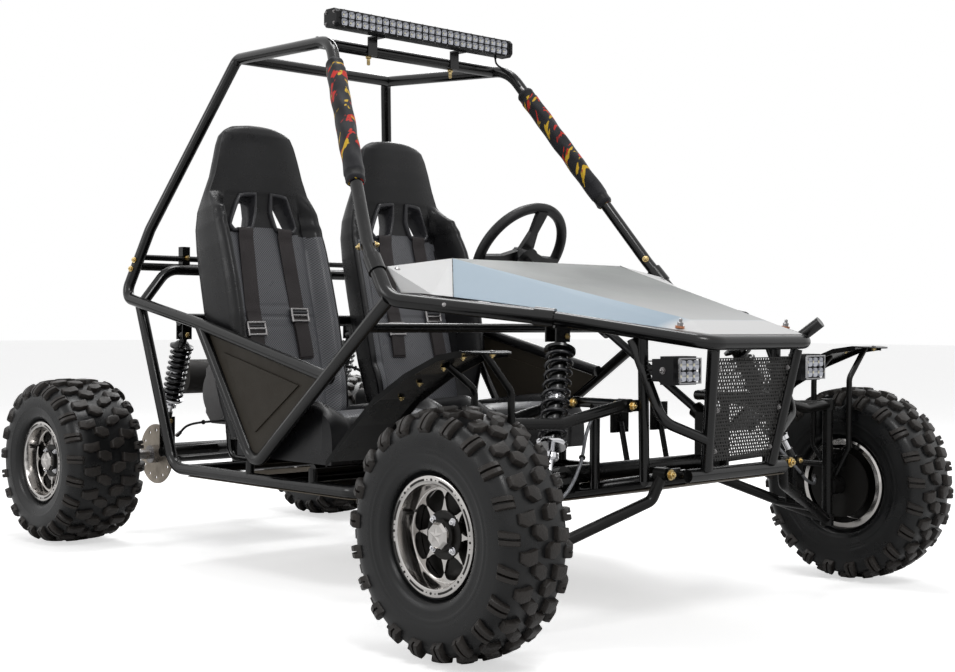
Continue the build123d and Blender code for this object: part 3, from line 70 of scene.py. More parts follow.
def stepped(table, key):
    """Read a table of rows that start with a rising key, straight between the rows."""
    if key <= table[0][0]:
        return table[0][1:]
    for low, high in zip(table, table[1:]):
        if key <= high[0]:
            share = (key - low[0]) / (high[0] - low[0])
            return tuple(mix(p, q, share) for p, q in zip(low[1:], high[1:]))
    return table[-1][1:]


def rounded_line(points, parts):
    """A Catmull-Rom line through the points."""
    ends = [points[0] * 2 - points[1]] + list(points) + [points[-1] * 2 - points[-2]]
    line = []
    for i in range(1, len(ends) - 2):
        a, b, c, d = ends[i - 1:i + 3]
        for k in range(parts):
            t = k / parts
            line.append(0.5 * ((2 * b) + (c - a) * t + (2 * a - 5 * b + 4 * c - d) * t * t
                               + (3 * b - a - 3 * c + d) * t * t * t))
    return line + [points[-1]]


# Places shared with the CAD, in millimetres

SEAT_X = 243.0
BACK_FOOT = (180.0, 345.0)
BACK_LEAN = math.radians(15.0)
SLOT_MIDDLE = 605.0
SLOT_HALF = 40.0
PILLAR_JOINT = mm(484, -420, 807)
ROOF_FRONT = mm(312, -61, 1340)
HOOD_REAR = mm(508, -520, 690)
CREASE_REAR = mm(292, -491, 787)
CREASE_FRONT = mm(133, -1054, 649)
BAND_REAR = mm(462, -612, 700)
CHEEK_SEAM = mm(438, -653, 694)
BAND_FRONT = mm(165, -1130, 619)
DASH_TOP = mm(476, -478, 763)
DASH_FOOT = mm(484, -536, 706)
FRONT_SHOCK = (mm(296, -838, 612), mm(432, -930, 312))
REAR_SHOCK = (mm(300, 620, 600), mm(300, 706, 352))
LIGHT_BAR = {"middle": mm(0, -55, 1398), "half": 300.0, "height": 44.0, "depth": 46.0}
POD = mm(224, -1086, 545)
GRILLE_TOP = mm(148, -1127, 586)
GRILLE_FOOT = mm(114, -1085, 334)
WHEEL_CENTRE = mm(243, -177, 825)
COLUMN_ANGLE = math.radians(33.0)


class KartSizes(bpy.types.PropertyGroup):
    """Sizes of the small forms."""
    lug_pitches: IntProperty(name="Lug pitches", description="Tread blocks round each row", default=21, min=8)
    lug_height: FloatProperty(name="Lug height", description="Depth of the tread", default=0.0125, unit="LENGTH")
    coils: IntProperty(name="Spring coils", description="Turns of each spring", default=9, min=3)
    spring_wire: FloatProperty(name="Spring wire", description="Radius of the spring wire", default=0.0042,
                               unit="LENGTH")
    grille_rows: IntProperty(name="Grille rows", description="Rows of holes in the grille", default=30, min=4)
    grille_columns: IntProperty(name="Grille columns", description="Holes in each row", default=14, min=2)
    lamp_cells: IntProperty(name="Lamp cells", description="Reflectors in each row of the light bar", default=26)
    seat_swell: FloatProperty(name="Seat swell", description="How far the padding stands proud", default=0.006,
                              unit="LENGTH")
    belt_width: FloatProperty(name="Belt width", description="Width of the harness webbing", default=0.048,
                              unit="LENGTH")


class KartColours(bpy.types.PropertyGroup):
    """Colours of the finishes, as linear values."""
    frame: FloatVectorProperty(name="Frame", description="Powder coat of the tubes", subtype="COLOR",
                               default=(0.0022, 0.0024, 0.0028))
    hood_side: FloatVectorProperty(name="Hood side", description="Light side bands of the hood", subtype="COLOR",
                                   default=(0.33, 0.425, 0.51))
    # Painted highlight: the cheeks and nose are the side bands' silver, drawn paler for the light they catch at their
    # angle.
    hood_facet_highlight: FloatVectorProperty(name="Hood cheek", description="Pale dash cheeks and nose", subtype="COLOR",
                                    default=(0.70, 0.70, 0.70))
    hood_top: FloatVectorProperty(name="Hood top", description="Grey top panel", subtype="COLOR",
                                  default=(0.235, 0.245, 0.24))
    vinyl: FloatVectorProperty(name="Vinyl", description="Black seat cover", subtype="COLOR",
                               default=(0.005, 0.005, 0.006))
    insert: FloatVectorProperty(name="Insert", description="Woven-look seat insert", subtype="COLOR",
                                default=(0.21, 0.215, 0.235))
    webbing: FloatVectorProperty(name="Webbing", description="Grey harness webbing", subtype="COLOR",
                                 default=(0.052, 0.044, 0.045))
    rubber: FloatVectorProperty(name="Rubber", description="Tyre rubber", subtype="COLOR",
                                default=(0.0060, 0.0065, 0.0072))
    alloy: FloatVectorProperty(name="Alloy", description="Machined wheels", subtype="COLOR",
                               default=(0.60, 0.58, 0.56))
    side_panel: FloatVectorProperty(name="Side panel", description="Brown-black side panels", subtype="COLOR",
                                    default=(0.034, 0.028, 0.020))
    zinc: FloatVectorProperty(name="Zinc", description="Yellow zinc on the bolts", subtype="COLOR",
                              default=(0.62, 0.47, 0.22))
    copper: FloatVectorProperty(name="Copper", description="Copper washers", subtype="COLOR",
                                default=(0.60, 0.26, 0.14))
    streak_red: FloatVectorProperty(name="Streak red", description="Red strokes on the roof pads", subtype="COLOR",
                                    default=(0.62, 0.03, 0.02))
    streak_yellow: FloatVectorProperty(name="Streak yellow", description="Yellow strokes on the roof pads",
                                       subtype="COLOR", default=(0.72, 0.45, 0.03))


# Meshes

class Form:
    """Points and faces gathered for one piece."""

    def __init__(self):
        self.points = []
        self.faces = []
        self.marks = []

    def add(self, points, faces, mark=0):
        start = len(self.points)
        self.points += [tuple(p) for p in points]
        self.faces += [tuple(start + i for i in face) for face in faces]
        self.marks += [mark] * len(faces)

    def piece(self, name, body, materials, smooth=35.0):
        """Make the Blender object and let it ride on its body."""
        mesh = bpy.data.meshes.new(name)
        mesh.from_pydata(self.points, [], self.faces)
        for material in materials:
            mesh.materials.append(material)
        for face, mark in zip(mesh.polygons, self.marks):
            face.material_index = mark
        work = bmesh.new()
        work.from_mesh(mesh)
        bmesh.ops.recalc_face_normals(work, faces=work.faces)
        work.to_mesh(mesh)
        work.free()
        mesh.shade_smooth()
        mesh.set_sharp_from_angle(angle=math.radians(smooth))
        piece = bpy.data.objects.new(name, mesh)
        bpy.context.scene.collection.objects.link(piece)
        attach(piece, body)
        return piece


def skin(rings, closed=True, caps=True):
    """Faces over a row of equal rings of points."""
    points = [p for ring in rings for p in ring]
    count = len(rings[0])
    faces = []
    span = count if closed else count - 1
    for i in range(len(rings) - 1):
        for k in range(span):
            n = (k + 1) % count
            faces.append((i * count + k, i * count + n, (i + 1) * count + n, (i + 1) * count + k))
    if caps and closed:
        faces.append(tuple(range(count - 1, -1, -1)))
        last = (len(rings) - 1) * count
        faces.append(tuple(range(last, last + count)))
    return points, faces


def square_to(axis):
    """Two directions square to an axis."""
    axis = axis.normalized()
    helper = Vector((0, 0, 1)) if abs(axis.z) < 0.9 else Vector((1, 0, 0))
    across = axis.cross(helper).normalized()
    return across, axis.cross(across)


def swept(path, radius, sides=12, loop=False):
    """A round tube along a path, without twist."""
    count = len(path)
    heading = (path[1] - path[0]).normalized()
    across, up = square_to(heading)
    rings = []
    for i, place in enumerate(path):
        if loop:
            ahead = (path[(i + 1) % count] - path[i - 1]).normalized()
        else:
            ahead = (path[min(i + 1, count - 1)] - path[max(i - 1, 0)]).normalized()
        across = (across - ahead * across.dot(ahead)).normalized()
        up = ahead.cross(across)
        size = radius[i] if isinstance(radius, (list, tuple)) else radius
        rings.append([place + (across * math.cos(t) + up * math.sin(t)) * size
                      for t in (2 * math.pi * k / sides for k in range(sides))])
    if loop:
        rings.append(rings[0])
    return skin(rings, caps=not loop)


def turned(profile, centre, axis, steps=32, start=0.0):
    """A turned form; the profile's rows are distance along the axis and radius."""
    axis = axis.normalized()
    across, up = square_to(axis)
    rings = []
    for along, radius in profile:
        middle = centre + axis * along
        rings.append([middle + (across * math.cos(t) + up * math.sin(t)) * radius
                      for t in (start + 2 * math.pi * k / steps for k in range(steps))])
    return skin(rings)


def plate(outline, origin, across, up, depth):
    """A flat plate with the given outline; depth runs along across x up."""
    out = across.cross(up).normalized()
    low = [origin + across * x + up * y for x, y in outline]
    return skin([low, [p + out * depth for p in low]])


def bolt(form, place, axis, size, marks=(0, 0), stand=0.0):
    """A washer and a domed hexagon head; marks are the head's and the washer's material."""
    axis = axis.normalized()
    foot = place + axis * stand
    form.add(*turned([(0, size * 1.25), (size * 0.22, size * 1.25)], foot, axis, 20), marks[1])
    head = [(size * 0.22, size * 0.86), (size * 0.30, size * 0.95), (size * 0.82, size * 0.95), (size * 0.95, size * 0.8)]
    form.add(*turned(head, foot, axis, 6), marks[0])
    form.add(*turned([(size * 0.9, size * 0.45), (size * 1.35, size * 0.42), (size * 1.42, size * 0.3)], foot, axis, 12),
             marks[0])


# Node groups and materials

def node_group(name, inputs, outputs):
    """An empty shader group with named sockets."""
    group = bpy.data.node_groups.new(name, "ShaderNodeTree")
    for label, kind, value in inputs:
        socket = group.interface.new_socket(name=label, in_out="INPUT", socket_type=kind)
        socket.default_value = value
    for label, kind in outputs:
        group.interface.new_socket(name=label, in_out="OUTPUT", socket_type=kind)
    return group, group.nodes.new("NodeGroupInput"), group.nodes.new("NodeGroupOutput")


def mottle_group():
    """Soft cloudy change of a colour, and dust that lightens it."""
    existing = bpy.data.node_groups.get("mottle")
    if existing:
        return existing
    group, given, result = node_group("mottle", [
        ("Color", "NodeSocketColor", (0.5, 0.5, 0.5, 1)), ("Dust", "NodeSocketColor", (0.3, 0.27, 0.23, 1)),
        ("Scale", "NodeSocketFloat", 12.0), ("Depth", "NodeSocketFloat", 0.25), ("Dust Amount", "NodeSocketFloat", 0.1)],
        [("Color", "NodeSocketColor"), ("Mask", "NodeSocketFloat")])
    link = group.links.new
    place = group.nodes.new("ShaderNodeTexCoord")
    cloud = group.nodes.new("ShaderNodeTexNoise")
    cloud.inputs["Detail"].default_value = 5.0
    cloud.inputs["Roughness"].default_value = 0.62
    link(place.outputs["Object"], cloud.inputs["Vector"])
    link(given.outputs["Scale"], cloud.inputs["Scale"])
    spread = group.nodes.new("ShaderNodeMapRange")
    spread.inputs["From Min"].default_value = 0.3
    spread.inputs["From Max"].default_value = 0.7
    link(cloud.outputs["Fac"], spread.inputs["Value"])
    shade = group.nodes.new("ShaderNodeMath")
    shade.operation = "MULTIPLY"
    link(spread.outputs["Result"], shade.inputs[0])
    link(given.outputs["Depth"], shade.inputs[1])
    darker = group.nodes.new("ShaderNodeMix")
    darker.data_type = "RGBA"
    darker.blend_type = "MULTIPLY"
    link(shade.outputs[0], darker.inputs["Factor"])
    link(given.outputs["Color"], darker.inputs["A"])
    darker.inputs["B"].default_value = (0.35, 0.35, 0.36, 1)
    amount = group.nodes.new("ShaderNodeMath")
    amount.operation = "MULTIPLY"
    link(cloud.outputs["Fac"], amount.inputs[0])
    link(given.outputs["Dust Amount"], amount.inputs[1])
    dusty = group.nodes.new("ShaderNodeMix")
    dusty.data_type = "RGBA"
    link(amount.outputs[0], dusty.inputs["Factor"])
    link(darker.outputs["Result"], dusty.inputs["A"])
    link(given.outputs["Dust"], dusty.inputs["B"])
    link(dusty.outputs["Result"], result.inputs["Color"])
    link(spread.outputs["Result"], result.inputs["Mask"])
    return group


def grain_group():
    """Fine pebble grain as a height."""
    existing = bpy.data.node_groups.get("grain")
    if existing:
        return existing
    group, given, result = node_group("grain", [("Scale", "NodeSocketFloat", 600.0)], [("Height", "NodeSocketFloat")])
    link = group.links.new
    place = group.nodes.new("ShaderNodeTexCoord")
    cells = group.nodes.new("ShaderNodeTexVoronoi")
    cells.feature = "SMOOTH_F1"
    link(place.outputs["Object"], cells.inputs["Vector"])
    link(given.outputs["Scale"], cells.inputs["Scale"])
    fine = group.nodes.new("ShaderNodeTexNoise")
    fine.inputs["Detail"].default_value = 3.0
    link(place.outputs["Object"], fine.inputs["Vector"])
    link(given.outputs["Scale"], fine.inputs["Scale"])
    both = group.nodes.new("ShaderNodeMath")
    both.operation = "ADD"
    link(cells.outputs["Distance"], both.inputs[0])
    link(fine.outputs["Fac"], both.inputs[1])
    link(both.outputs[0], result.inputs["Height"])
    return group


def weave_group():
    """A two-way weave as a mask and a height, on the object's X and slanted up direction."""
    existing = bpy.data.node_groups.get("weave")
    if existing:
        return existing
    group, given, result = node_group("weave", [("Scale", "NodeSocketFloat", 300.0)],
                                      [("Mask", "NodeSocketFloat"), ("Height", "NodeSocketFloat")])
    link = group.links.new
    place = group.nodes.new("ShaderNodeTexCoord")
    parts = group.nodes.new("ShaderNodeSeparateXYZ")
    link(place.outputs["Object"], parts.inputs[0])
    waves = []
    for axis in ("X", "Z"):
        scaled = group.nodes.new("ShaderNodeMath")
        scaled.operation = "MULTIPLY"
        link(parts.outputs[axis], scaled.inputs[0])
        link(given.outputs["Scale"], scaled.inputs[1])
        wave = group.nodes.new("ShaderNodeMath")
        wave.operation = "SINE"
        link(scaled.outputs[0], wave.inputs[0])
        waves.append(wave)
    cross = group.nodes.new("ShaderNodeMath")
    cross.operation = "MULTIPLY"
    link(waves[0].outputs[0], cross.inputs[0])
    link(waves[1].outputs[0], cross.inputs[1])
    lifted = group.nodes.new("ShaderNodeMapRange")
    lifted.inputs["From Min"].default_value = -1.0
    link(cross.outputs[0], lifted.inputs["Value"])
    link(lifted.outputs["Result"], result.inputs["Mask"])
    link(lifted.outputs["Result"], result.inputs["Height"])
    return group


def placed_group(nodes, group, values):
    node = nodes.new("ShaderNodeGroup")
    node.node_tree = group
    for name, value in values.items():
        node.inputs[name].default_value = value
    return node


def finish(name, colour, rough=0.5, metal=0.0, coat=0.0, sheen=0.0, scale=12.0, depth=0.25, dust=0.0,
           grain=0.0, grain_scale=600.0, weave=0.0, weave_scale=300.0, weave_colour=None, second=None,
           second_mask=None, dust_colour=(0.30, 0.26, 0.21), rough_depth=0.12, spec=0.22):
    """A finish with mottled colour, varied gloss and a fine relief."""
    material = bpy.data.materials.new(name)
    material.use_nodes = True
    nodes = material.node_tree.nodes
    link = material.node_tree.links.new
    shader = nodes["Principled BSDF"]
    shader.inputs["Metallic"].default_value = metal
    shader.inputs["Specular IOR Level"].default_value = spec
    shader.inputs["Coat Weight"].default_value = coat
    shader.inputs["Coat Roughness"].default_value = 0.08
    shader.inputs["Sheen Weight"].default_value = sheen
    colours = placed_group(nodes, mottle_group(), {
        "Color": (*colour, 1), "Dust": (*dust_colour, 1), "Scale": scale, "Depth": depth, "Dust Amount": dust})
    source = colours.outputs["Color"]
    if second_mask:
        blend = nodes.new("ShaderNodeMix")
        blend.data_type = "RGBA"
        link(second_mask(nodes, link), blend.inputs["Factor"])
        link(source, blend.inputs["A"])
        blend.inputs["B"].default_value = (*second, 1)
        source = blend.outputs["Result"]
    height = None
    if weave:
        woven = placed_group(nodes, weave_group(), {"Scale": weave_scale})
        blend = nodes.new("ShaderNodeMix")
        blend.data_type = "RGBA"
        link(woven.outputs["Mask"], blend.inputs["Factor"])
        blend.inputs["A"].default_value = (*(weave_colour or tuple(c * 0.45 for c in colour)), 1)
        link(source, blend.inputs["B"])
        source = blend.outputs["Result"]
        height = woven.outputs["Height"]
    link(source, shader.inputs["Base Color"])
    gloss = nodes.new("ShaderNodeMapRange")
    gloss.inputs["To Min"].default_value = max(rough - rough_depth, 0.04)
    gloss.inputs["To Max"].default_value = min(rough + rough_depth, 1.0)
    link(colours.outputs["Mask"], gloss.inputs["Value"])
    link(gloss.outputs["Result"], shader.inputs["Roughness"])
    if grain:
        pebbled = placed_group(nodes, grain_group(), {"Scale": grain_scale})
        height = pebbled.outputs["Height"]
    if height:
        relief = nodes.new("ShaderNodeBump")
        relief.inputs["Strength"].default_value = max(grain, weave)
        relief.inputs["Distance"].default_value = 0.0006
        link(height, relief.inputs["Height"])
        link(relief.outputs["Normal"], shader.inputs["Normal"])
    return material


MADE = {}


def made(name):
    """A finish by its plain name, built once."""
    if name in MADE:
        return MADE[name]
    colours = bpy.context.scene.kart_colours
    recipes = {
        "frame": lambda: finish("frame_paint", colours.frame, 0.20, spec=0.44, depth=0.2, dust=0.01, grain=0.06,
                                grain_scale=900),
        "arms": lambda: finish("arm_paint", colours.frame, 0.28, spec=0.22, depth=0.2, dust=0.02, grain=0.06,
                               grain_scale=900),
        # The cheeks and nose of the side bands get the paler colour as a painted highlight.
        "hood_side": lambda: finish("hood_side", colours.hood_side, 0.42, spec=0.2, depth=0.05, scale=3,
                                    second=colours.hood_facet_highlight, second_mask=cheek_highlight_mask, rough_depth=0.04),
        # Towards the nose the top blends into the paler colour: a painted highlight of the lit front facet.
        "hood_top": lambda: finish("hood_top", colours.hood_top, 0.5, spec=0.12, depth=0.12, scale=4, rough_depth=0.05,
                                  second=colours.hood_facet_highlight, second_mask=nose_highlight_mask),
        "side_panel": lambda: finish("side_panel", colours.side_panel, 0.46, spec=0.2, depth=0.2, grain=0.35, grain_scale=420),
        "vinyl": lambda: finish("seat_vinyl", colours.vinyl, 0.30, spec=0.30, depth=0.25, grain=0.35,
                                grain_scale=520),
        "insert": lambda: finish("seat_insert", colours.insert, 0.34, spec=0.5, depth=0.2, weave=0.8,
                                 weave_scale=900, weave_colour=(0.006, 0.006, 0.008)),
        "bezel": lambda: finish("bezel_plastic", (0.045, 0.045, 0.05), 0.3, spec=0.4, depth=0.15),
        "stitch": lambda: finish("stitch_thread", (0.022, 0.022, 0.024), 0.7),
        "foam": lambda: finish("pad_cloth", (0.013, 0.013, 0.016), 0.72, sheen=0.2, grain=0.5, grain_scale=380,
                               depth=0.3),
        "webbing": lambda: finish("belt_webbing", colours.webbing, 0.62, sheen=0.15, weave=0.8, weave_scale=1900),
        "rubber": lambda: finish("tyre_rubber", colours.rubber, 0.30, spec=0.34, depth=0.35, scale=9, dust=0.03, grain=0.22,
                                 grain_scale=700, dust_colour=(0.11, 0.10, 0.09)),
        "lug": lambda: finish("tyre_lug", (0.009, 0.009, 0.009), 0.40, spec=0.30, depth=0.4, scale=26, dust=0.22, grain=0.8,
                              grain_scale=260, dust_colour=(0.17, 0.14, 0.12)),
        "alloy": lambda: finish("rim_alloy", colours.alloy, 0.16, metal=1.0, depth=0.35, scale=7, rough_depth=0.08),
        "alloy_dark": lambda: finish("rim_inlay", (0.02, 0.018, 0.016), 0.4, depth=0.2),
        "chrome": lambda: finish("chrome", (0.72, 0.72, 0.74), 0.10, metal=1.0, depth=0.1, rough_depth=0.04),
        "steel": lambda: finish("turned_steel", (0.34, 0.33, 0.33), 0.28, metal=1.0, depth=0.3, scale=20),
        "disc": lambda: finish("disc_steel", (0.40, 0.35, 0.29), 0.38, metal=1.0, depth=0.3, scale=30),
        "iron": lambda: finish("hub_iron", (0.006, 0.006, 0.006), 0.4, depth=0.3, dust=0.04),
        "zinc": lambda: finish("zinc_yellow", colours.zinc, 0.28, metal=1.0, depth=0.3, scale=60),
        "copper": lambda: finish("copper_washer", colours.copper, 0.25, metal=1.0, depth=0.2, scale=60),
        "spring": lambda: finish("spring_paint", (0.008, 0.008, 0.011), 0.22, spec=0.6, depth=0.2),
        "grille": lambda: grille_material(),
        "housing": lambda: finish("lamp_housing", (0.008, 0.008, 0.009), 0.40, depth=0.25, grain=0.15,
                                  grain_scale=700),
        "mirror": lambda: finish("lamp_reflector", (0.44, 0.45, 0.49), 0.10, metal=1.0, depth=0.3, scale=90,
                                 rough_depth=0.05),
        "chip": lambda: finish("lamp_chip", (0.86, 0.82, 0.62), 0.5, depth=0.1),
        "pan": lambda: finish("floor_sheet", (0.12, 0.10, 0.075), 0.5, metal=0.3, depth=0.35, scale=8, dust=0.3),
        "engine": lambda: finish("engine_alloy", (0.16, 0.16, 0.165), 0.46, metal=0.7, depth=0.35, grain=0.4,
                                 grain_scale=260, dust=0.15),
        "tank": lambda: finish("tank_plastic", (0.018, 0.018, 0.019), 0.5, depth=0.25, grain=0.2),
        "muffler": lambda: finish("muffler_paint", (0.022, 0.022, 0.023), 0.6, depth=0.35, grain=0.2, dust=0.1),
        "grip": lambda: finish("wheel_grip", (0.005, 0.005, 0.0055), 0.44, spec=0.4, depth=0.25, grain=0.35, grain_scale=420),
        "fender": lambda: finish("fender_plastic", (0.003, 0.003, 0.003), 0.24, spec=0.14, depth=0.2),
        "hose": lambda: finish("hose_braid", (0.36, 0.37, 0.39), 0.35, metal=0.8, weave=0.7, weave_scale=2600,
                               weave_colour=(0.12, 0.12, 0.13)),
        "tie": lambda: finish("cable_tie", (0.010, 0.010, 0.011), 0.5),
        "pad_print": lambda: print_material(),
        "chain": lambda: finish("chain_steel", (0.10, 0.095, 0.09), 0.38, metal=1.0, depth=0.3, scale=40),
    }
    MADE[name] = recipes[name]()
    return MADE[name]


def place_parts(nodes, link):
    """The object's place and its size along X without sign."""
    place = nodes.new("ShaderNodeTexCoord")
    parts = nodes.new("ShaderNodeSeparateXYZ")
    link(place.outputs["Object"], parts.inputs[0])
    sized = nodes.new("ShaderNodeMath")
    sized.operation = "ABSOLUTE"
    link(parts.outputs["X"], sized.inputs[0])
    return sized.outputs[0], parts


def cheek_highlight_mask(nodes, link):
    """One on the dash cheeks, behind their seam, and on the nose, where the side band's silver is painted paler as a
    highlight.
    """
    sized, parts = place_parts(nodes, link)
    slope = (CHEEK_SEAM.x - CREASE_REAR.x) / (CHEEK_SEAM.y - CREASE_REAR.y)
    along = nodes.new("ShaderNodeMath")
    along.operation = "MULTIPLY_ADD"
    link(parts.outputs["Y"], along.inputs[0])
    along.inputs[1].default_value = -slope
    link(sized, along.inputs[2])
    mask = nodes.new("ShaderNodeMapRange")
    edge = CREASE_REAR.x - slope * CREASE_REAR.y
    mask.inputs["From Min"].default_value = edge - 0.0005
    mask.inputs["From Max"].default_value = edge + 0.0005
    link(along.outputs[0], mask.inputs["Value"])
    nose = nodes.new("ShaderNodeMapRange")
    nose.inputs["From Min"].default_value = -1.030
    nose.inputs["From Max"].default_value = -1.062
    link(parts.outputs["Y"], nose.inputs["Value"])
    both = nodes.new("ShaderNodeMath")
    both.operation = "MAXIMUM"
    link(mask.outputs["Result"], both.inputs[0])
    link(nose.outputs["Result"], both.inputs[1])
    return both.outputs[0]


def nose_highlight_mask(nodes, link):
    """Rises from the dash to the nose, blending in the paler painted highlight of the lit front facet."""
    sized, parts = place_parts(nodes, link)
    nose = nodes.new("ShaderNodeMapRange")
    nose.inputs["From Min"].default_value = -0.72
    nose.inputs["From Max"].default_value = -1.10
    nose.inputs["To Max"].default_value = 0.65
    link(parts.outputs["Y"], nose.inputs["Value"])
    return nose.outputs["Result"]


def grille_material():
    """Dark sheet with staggered rows of small holes."""
    material = finish("grille_sheet", (0.010, 0.009, 0.008), 0.38, spec=0.4, depth=0.25)
    nodes, link = material.node_tree.nodes, material.node_tree.links.new
    shader = nodes["Principled BSDF"]
    sized, parts = place_parts(nodes, link)

    def math_node(kind, a, b=None):
        node = nodes.new("ShaderNodeMath")
        node.operation = kind
        for index, value in enumerate((a, b)):
            if value is None:
                continue
            if isinstance(value, (int, float)):
                node.inputs[index].default_value = value
            else:
                link(value, node.inputs[index])
        return node.outputs[0]

    row_pitch, hole_pitch = 0.0073, 0.0086
    rows = math_node("DIVIDE", parts.outputs["Z"], row_pitch)
    row = math_node("FLOOR", rows)
    in_row = math_node("SUBTRACT", math_node("SUBTRACT", rows, row), 0.5)
    half = math_node("MULTIPLY", math_node("MODULO", row, 2.0), 0.5)
    columns = math_node("ADD", math_node("DIVIDE", math_node("ADD", parts.outputs["X"], 1.0), hole_pitch), half)
    in_column = math_node("SUBTRACT", math_node("FRACT", columns), 0.5)
    x = math_node("POWER", math_node("MULTIPLY", in_column, hole_pitch), 2.0)
    z = math_node("POWER", math_node("MULTIPLY", in_row, row_pitch), 2.0)
    solid = math_node("GREATER_THAN", math_node("ADD", x, z), 0.0026 ** 2)
    link(solid, shader.inputs["Alpha"])
    return material


NODE_FINISH = {
    "frame_paint": "frame", "arm_paint": "arms", "lamp_housing": "housing", "grille_sheet": "grille",
    "hood_silver": "hood_side", "hood_gloss": "hood_top", "side_plastic": "side_panel", "seat_vinyl": "vinyl",
    "pad_foam": "foam", "belt_web": "webbing", "fender_plastic": "fender", "tyre_rubber": "rubber",
    "rim_alloy": "alloy", "hub_iron": "iron", "pan_sheet": "pan", "shock_steel": "steel", "engine_alloy": "engine",
    "tank_plastic": "tank", "muffler_paint": "muffler", "axle_steel": "steel", "disc_steel": "disc",
    "wheel_grip": "grip",
}


# Tyres and wheels

WHEELS = (
    {"name": "front_tyre_right", "body": "front_wheel_right", "x": -689.0, "y": -940.0, "z": 241.54, "radius": 242.0,
     "width": 162.0, "face": 67.0, "side": -1},
    {"name": "front_tyre_left", "body": "front_wheel_left", "x": 689.0, "y": -940.0, "z": 241.54, "radius": 242.0,
     "width": 162.0, "face": 67.0, "side": 1},
    {"name": "rear_tyre_right", "body": "rear_axle", "x": -474.0, "y": 940.0, "z": 235.96, "radius": 236.0,
     "width": 226.0, "face": 97.0, "side": -1},
    {"name": "rear_tyre_left", "body": "rear_axle", "x": 474.0, "y": 940.0, "z": 235.96, "radius": 236.0,
     "width": 226.0, "face": 97.0, "side": 1},
)


def carcass_line(wheel):
    """Half of the carcass outline in millimetres from the tread's middle to the bead: across, radius."""
    half = wheel["width"] / 2
    tread = wheel["radius"] - 13.0
    bead = wheel["face"] - 9.3
    knots = [(0, tread), (half * 0.35, tread - 0.8), (half * 0.62, tread - 3.5), (half * 0.84, tread - 11),
             (half * 0.965, tread - 28), (half * 1.0, tread - 54), (half * 0.985, tread - 76), (half * 0.93, 128),
             (bead + 3, 119.5), (bead, 116.0)]
    line = rounded_line([Vector((x, r, 0)) for x, r in knots], 7)
    points = []
    for p in line:
        ridge = sum(math.exp(-((p.y - r) / 1.1) ** 2) for r in (133.0, 137.0, 156.0, tread - 62.0)) * 1.0
        points.append((p.x + ridge, p.y))
    return points


def along_carcass(line, distance, side):
    """Place and outward direction on the carcass at a distance from the tread's middle."""
    left = distance
    for (x0, r0), (x1, r1) in zip(line, line[1:]):
        step = math.hypot(x1 - x0, r1 - r0)
        if left <= step or (x1, r1) == line[-1]:
            share = left / step
            x, r = mix(x0, x1, share), mix(r0, r1, share)
            return x * side, r, -(r1 - r0) / step * side, (x1 - x0) / step
        left -= step
    return line[-1][0] * side, line[-1][1], side, 0.0


class TyreForm(Form):
    """A tyre about the X axis; places are across, distance round and height."""

    def __init__(self, wheel):
        super().__init__()
        self.wheel = wheel
        self.line = carcass_line(wheel)
        self.hub = Vector((wheel["x"], wheel["y"], wheel["z"]))

    def place(self, across, round_, height):
        side = 1 if across >= 0 else -1
        x, r, nx, nr = along_carcass(self.line, abs(across), side)
        x, r = x + nx * height, r + nr * height
        angle = round_ / (self.wheel["radius"] - 6.0)
        return (self.hub + Vector((x, r * math.sin(angle), r * math.cos(angle)))) * MM

    def block(self, corners, height, centre_round):
        """A tapered tread block with broken edges over a four-cornered or more outline."""
        middle = (sum(c[0] for c in corners) / len(corners), sum(c[1] for c in corners) / len(corners))
        fine = []
        for a, b in zip(corners, corners[1:] + corners[:1]):
            for k in range(3):
                fine.append((mix(a[0], b[0], k / 3), mix(a[1], b[1], k / 3)))
        rings = []
        for spread, h in ((1.10, -2.0), (1.0, height - 1.6), (0.94, height - 0.3), (0.86, height)):
            rings.append([self.place(middle[0] + (a - middle[0]) * spread, centre_round + middle[1] + (b - middle[1]) * spread, h)
                          for a, b in fine])
        self.add(*skin(rings), 1)

    def shoulder(self, side, centre_round, start, end, width, height, lean):
        """A block that wraps over the shoulder, with a cut down its middle."""
        rings = []
        count = 12
        for i in range(count + 1):
            t = i / count
            across = mix(start, end, t) * side
            wide = width * (0.80 + 0.32 * t)
            rise = height * min(1.0, 6 * t + 0.15) * min(1.0, 5.5 * (1 - t) + 0.12)
            shift = centre_round + lean * t
            cut = height * 0.75 if 0.16 < t < 0.9 else 0.0
            rows = ((-0.55, -2.0), (-0.5, rise * 0.85), (-0.44, rise), (-0.10, rise), (-0.065, rise - cut),
                    (0.065, rise - cut), (0.10, rise), (0.44, rise), (0.5, rise * 0.85), (0.55, -2.0))
            rings.append([self.place(across, shift + wide * a, max(h, -2.0)) for a, h in rows])
        self.add(*skin(rings), 1)


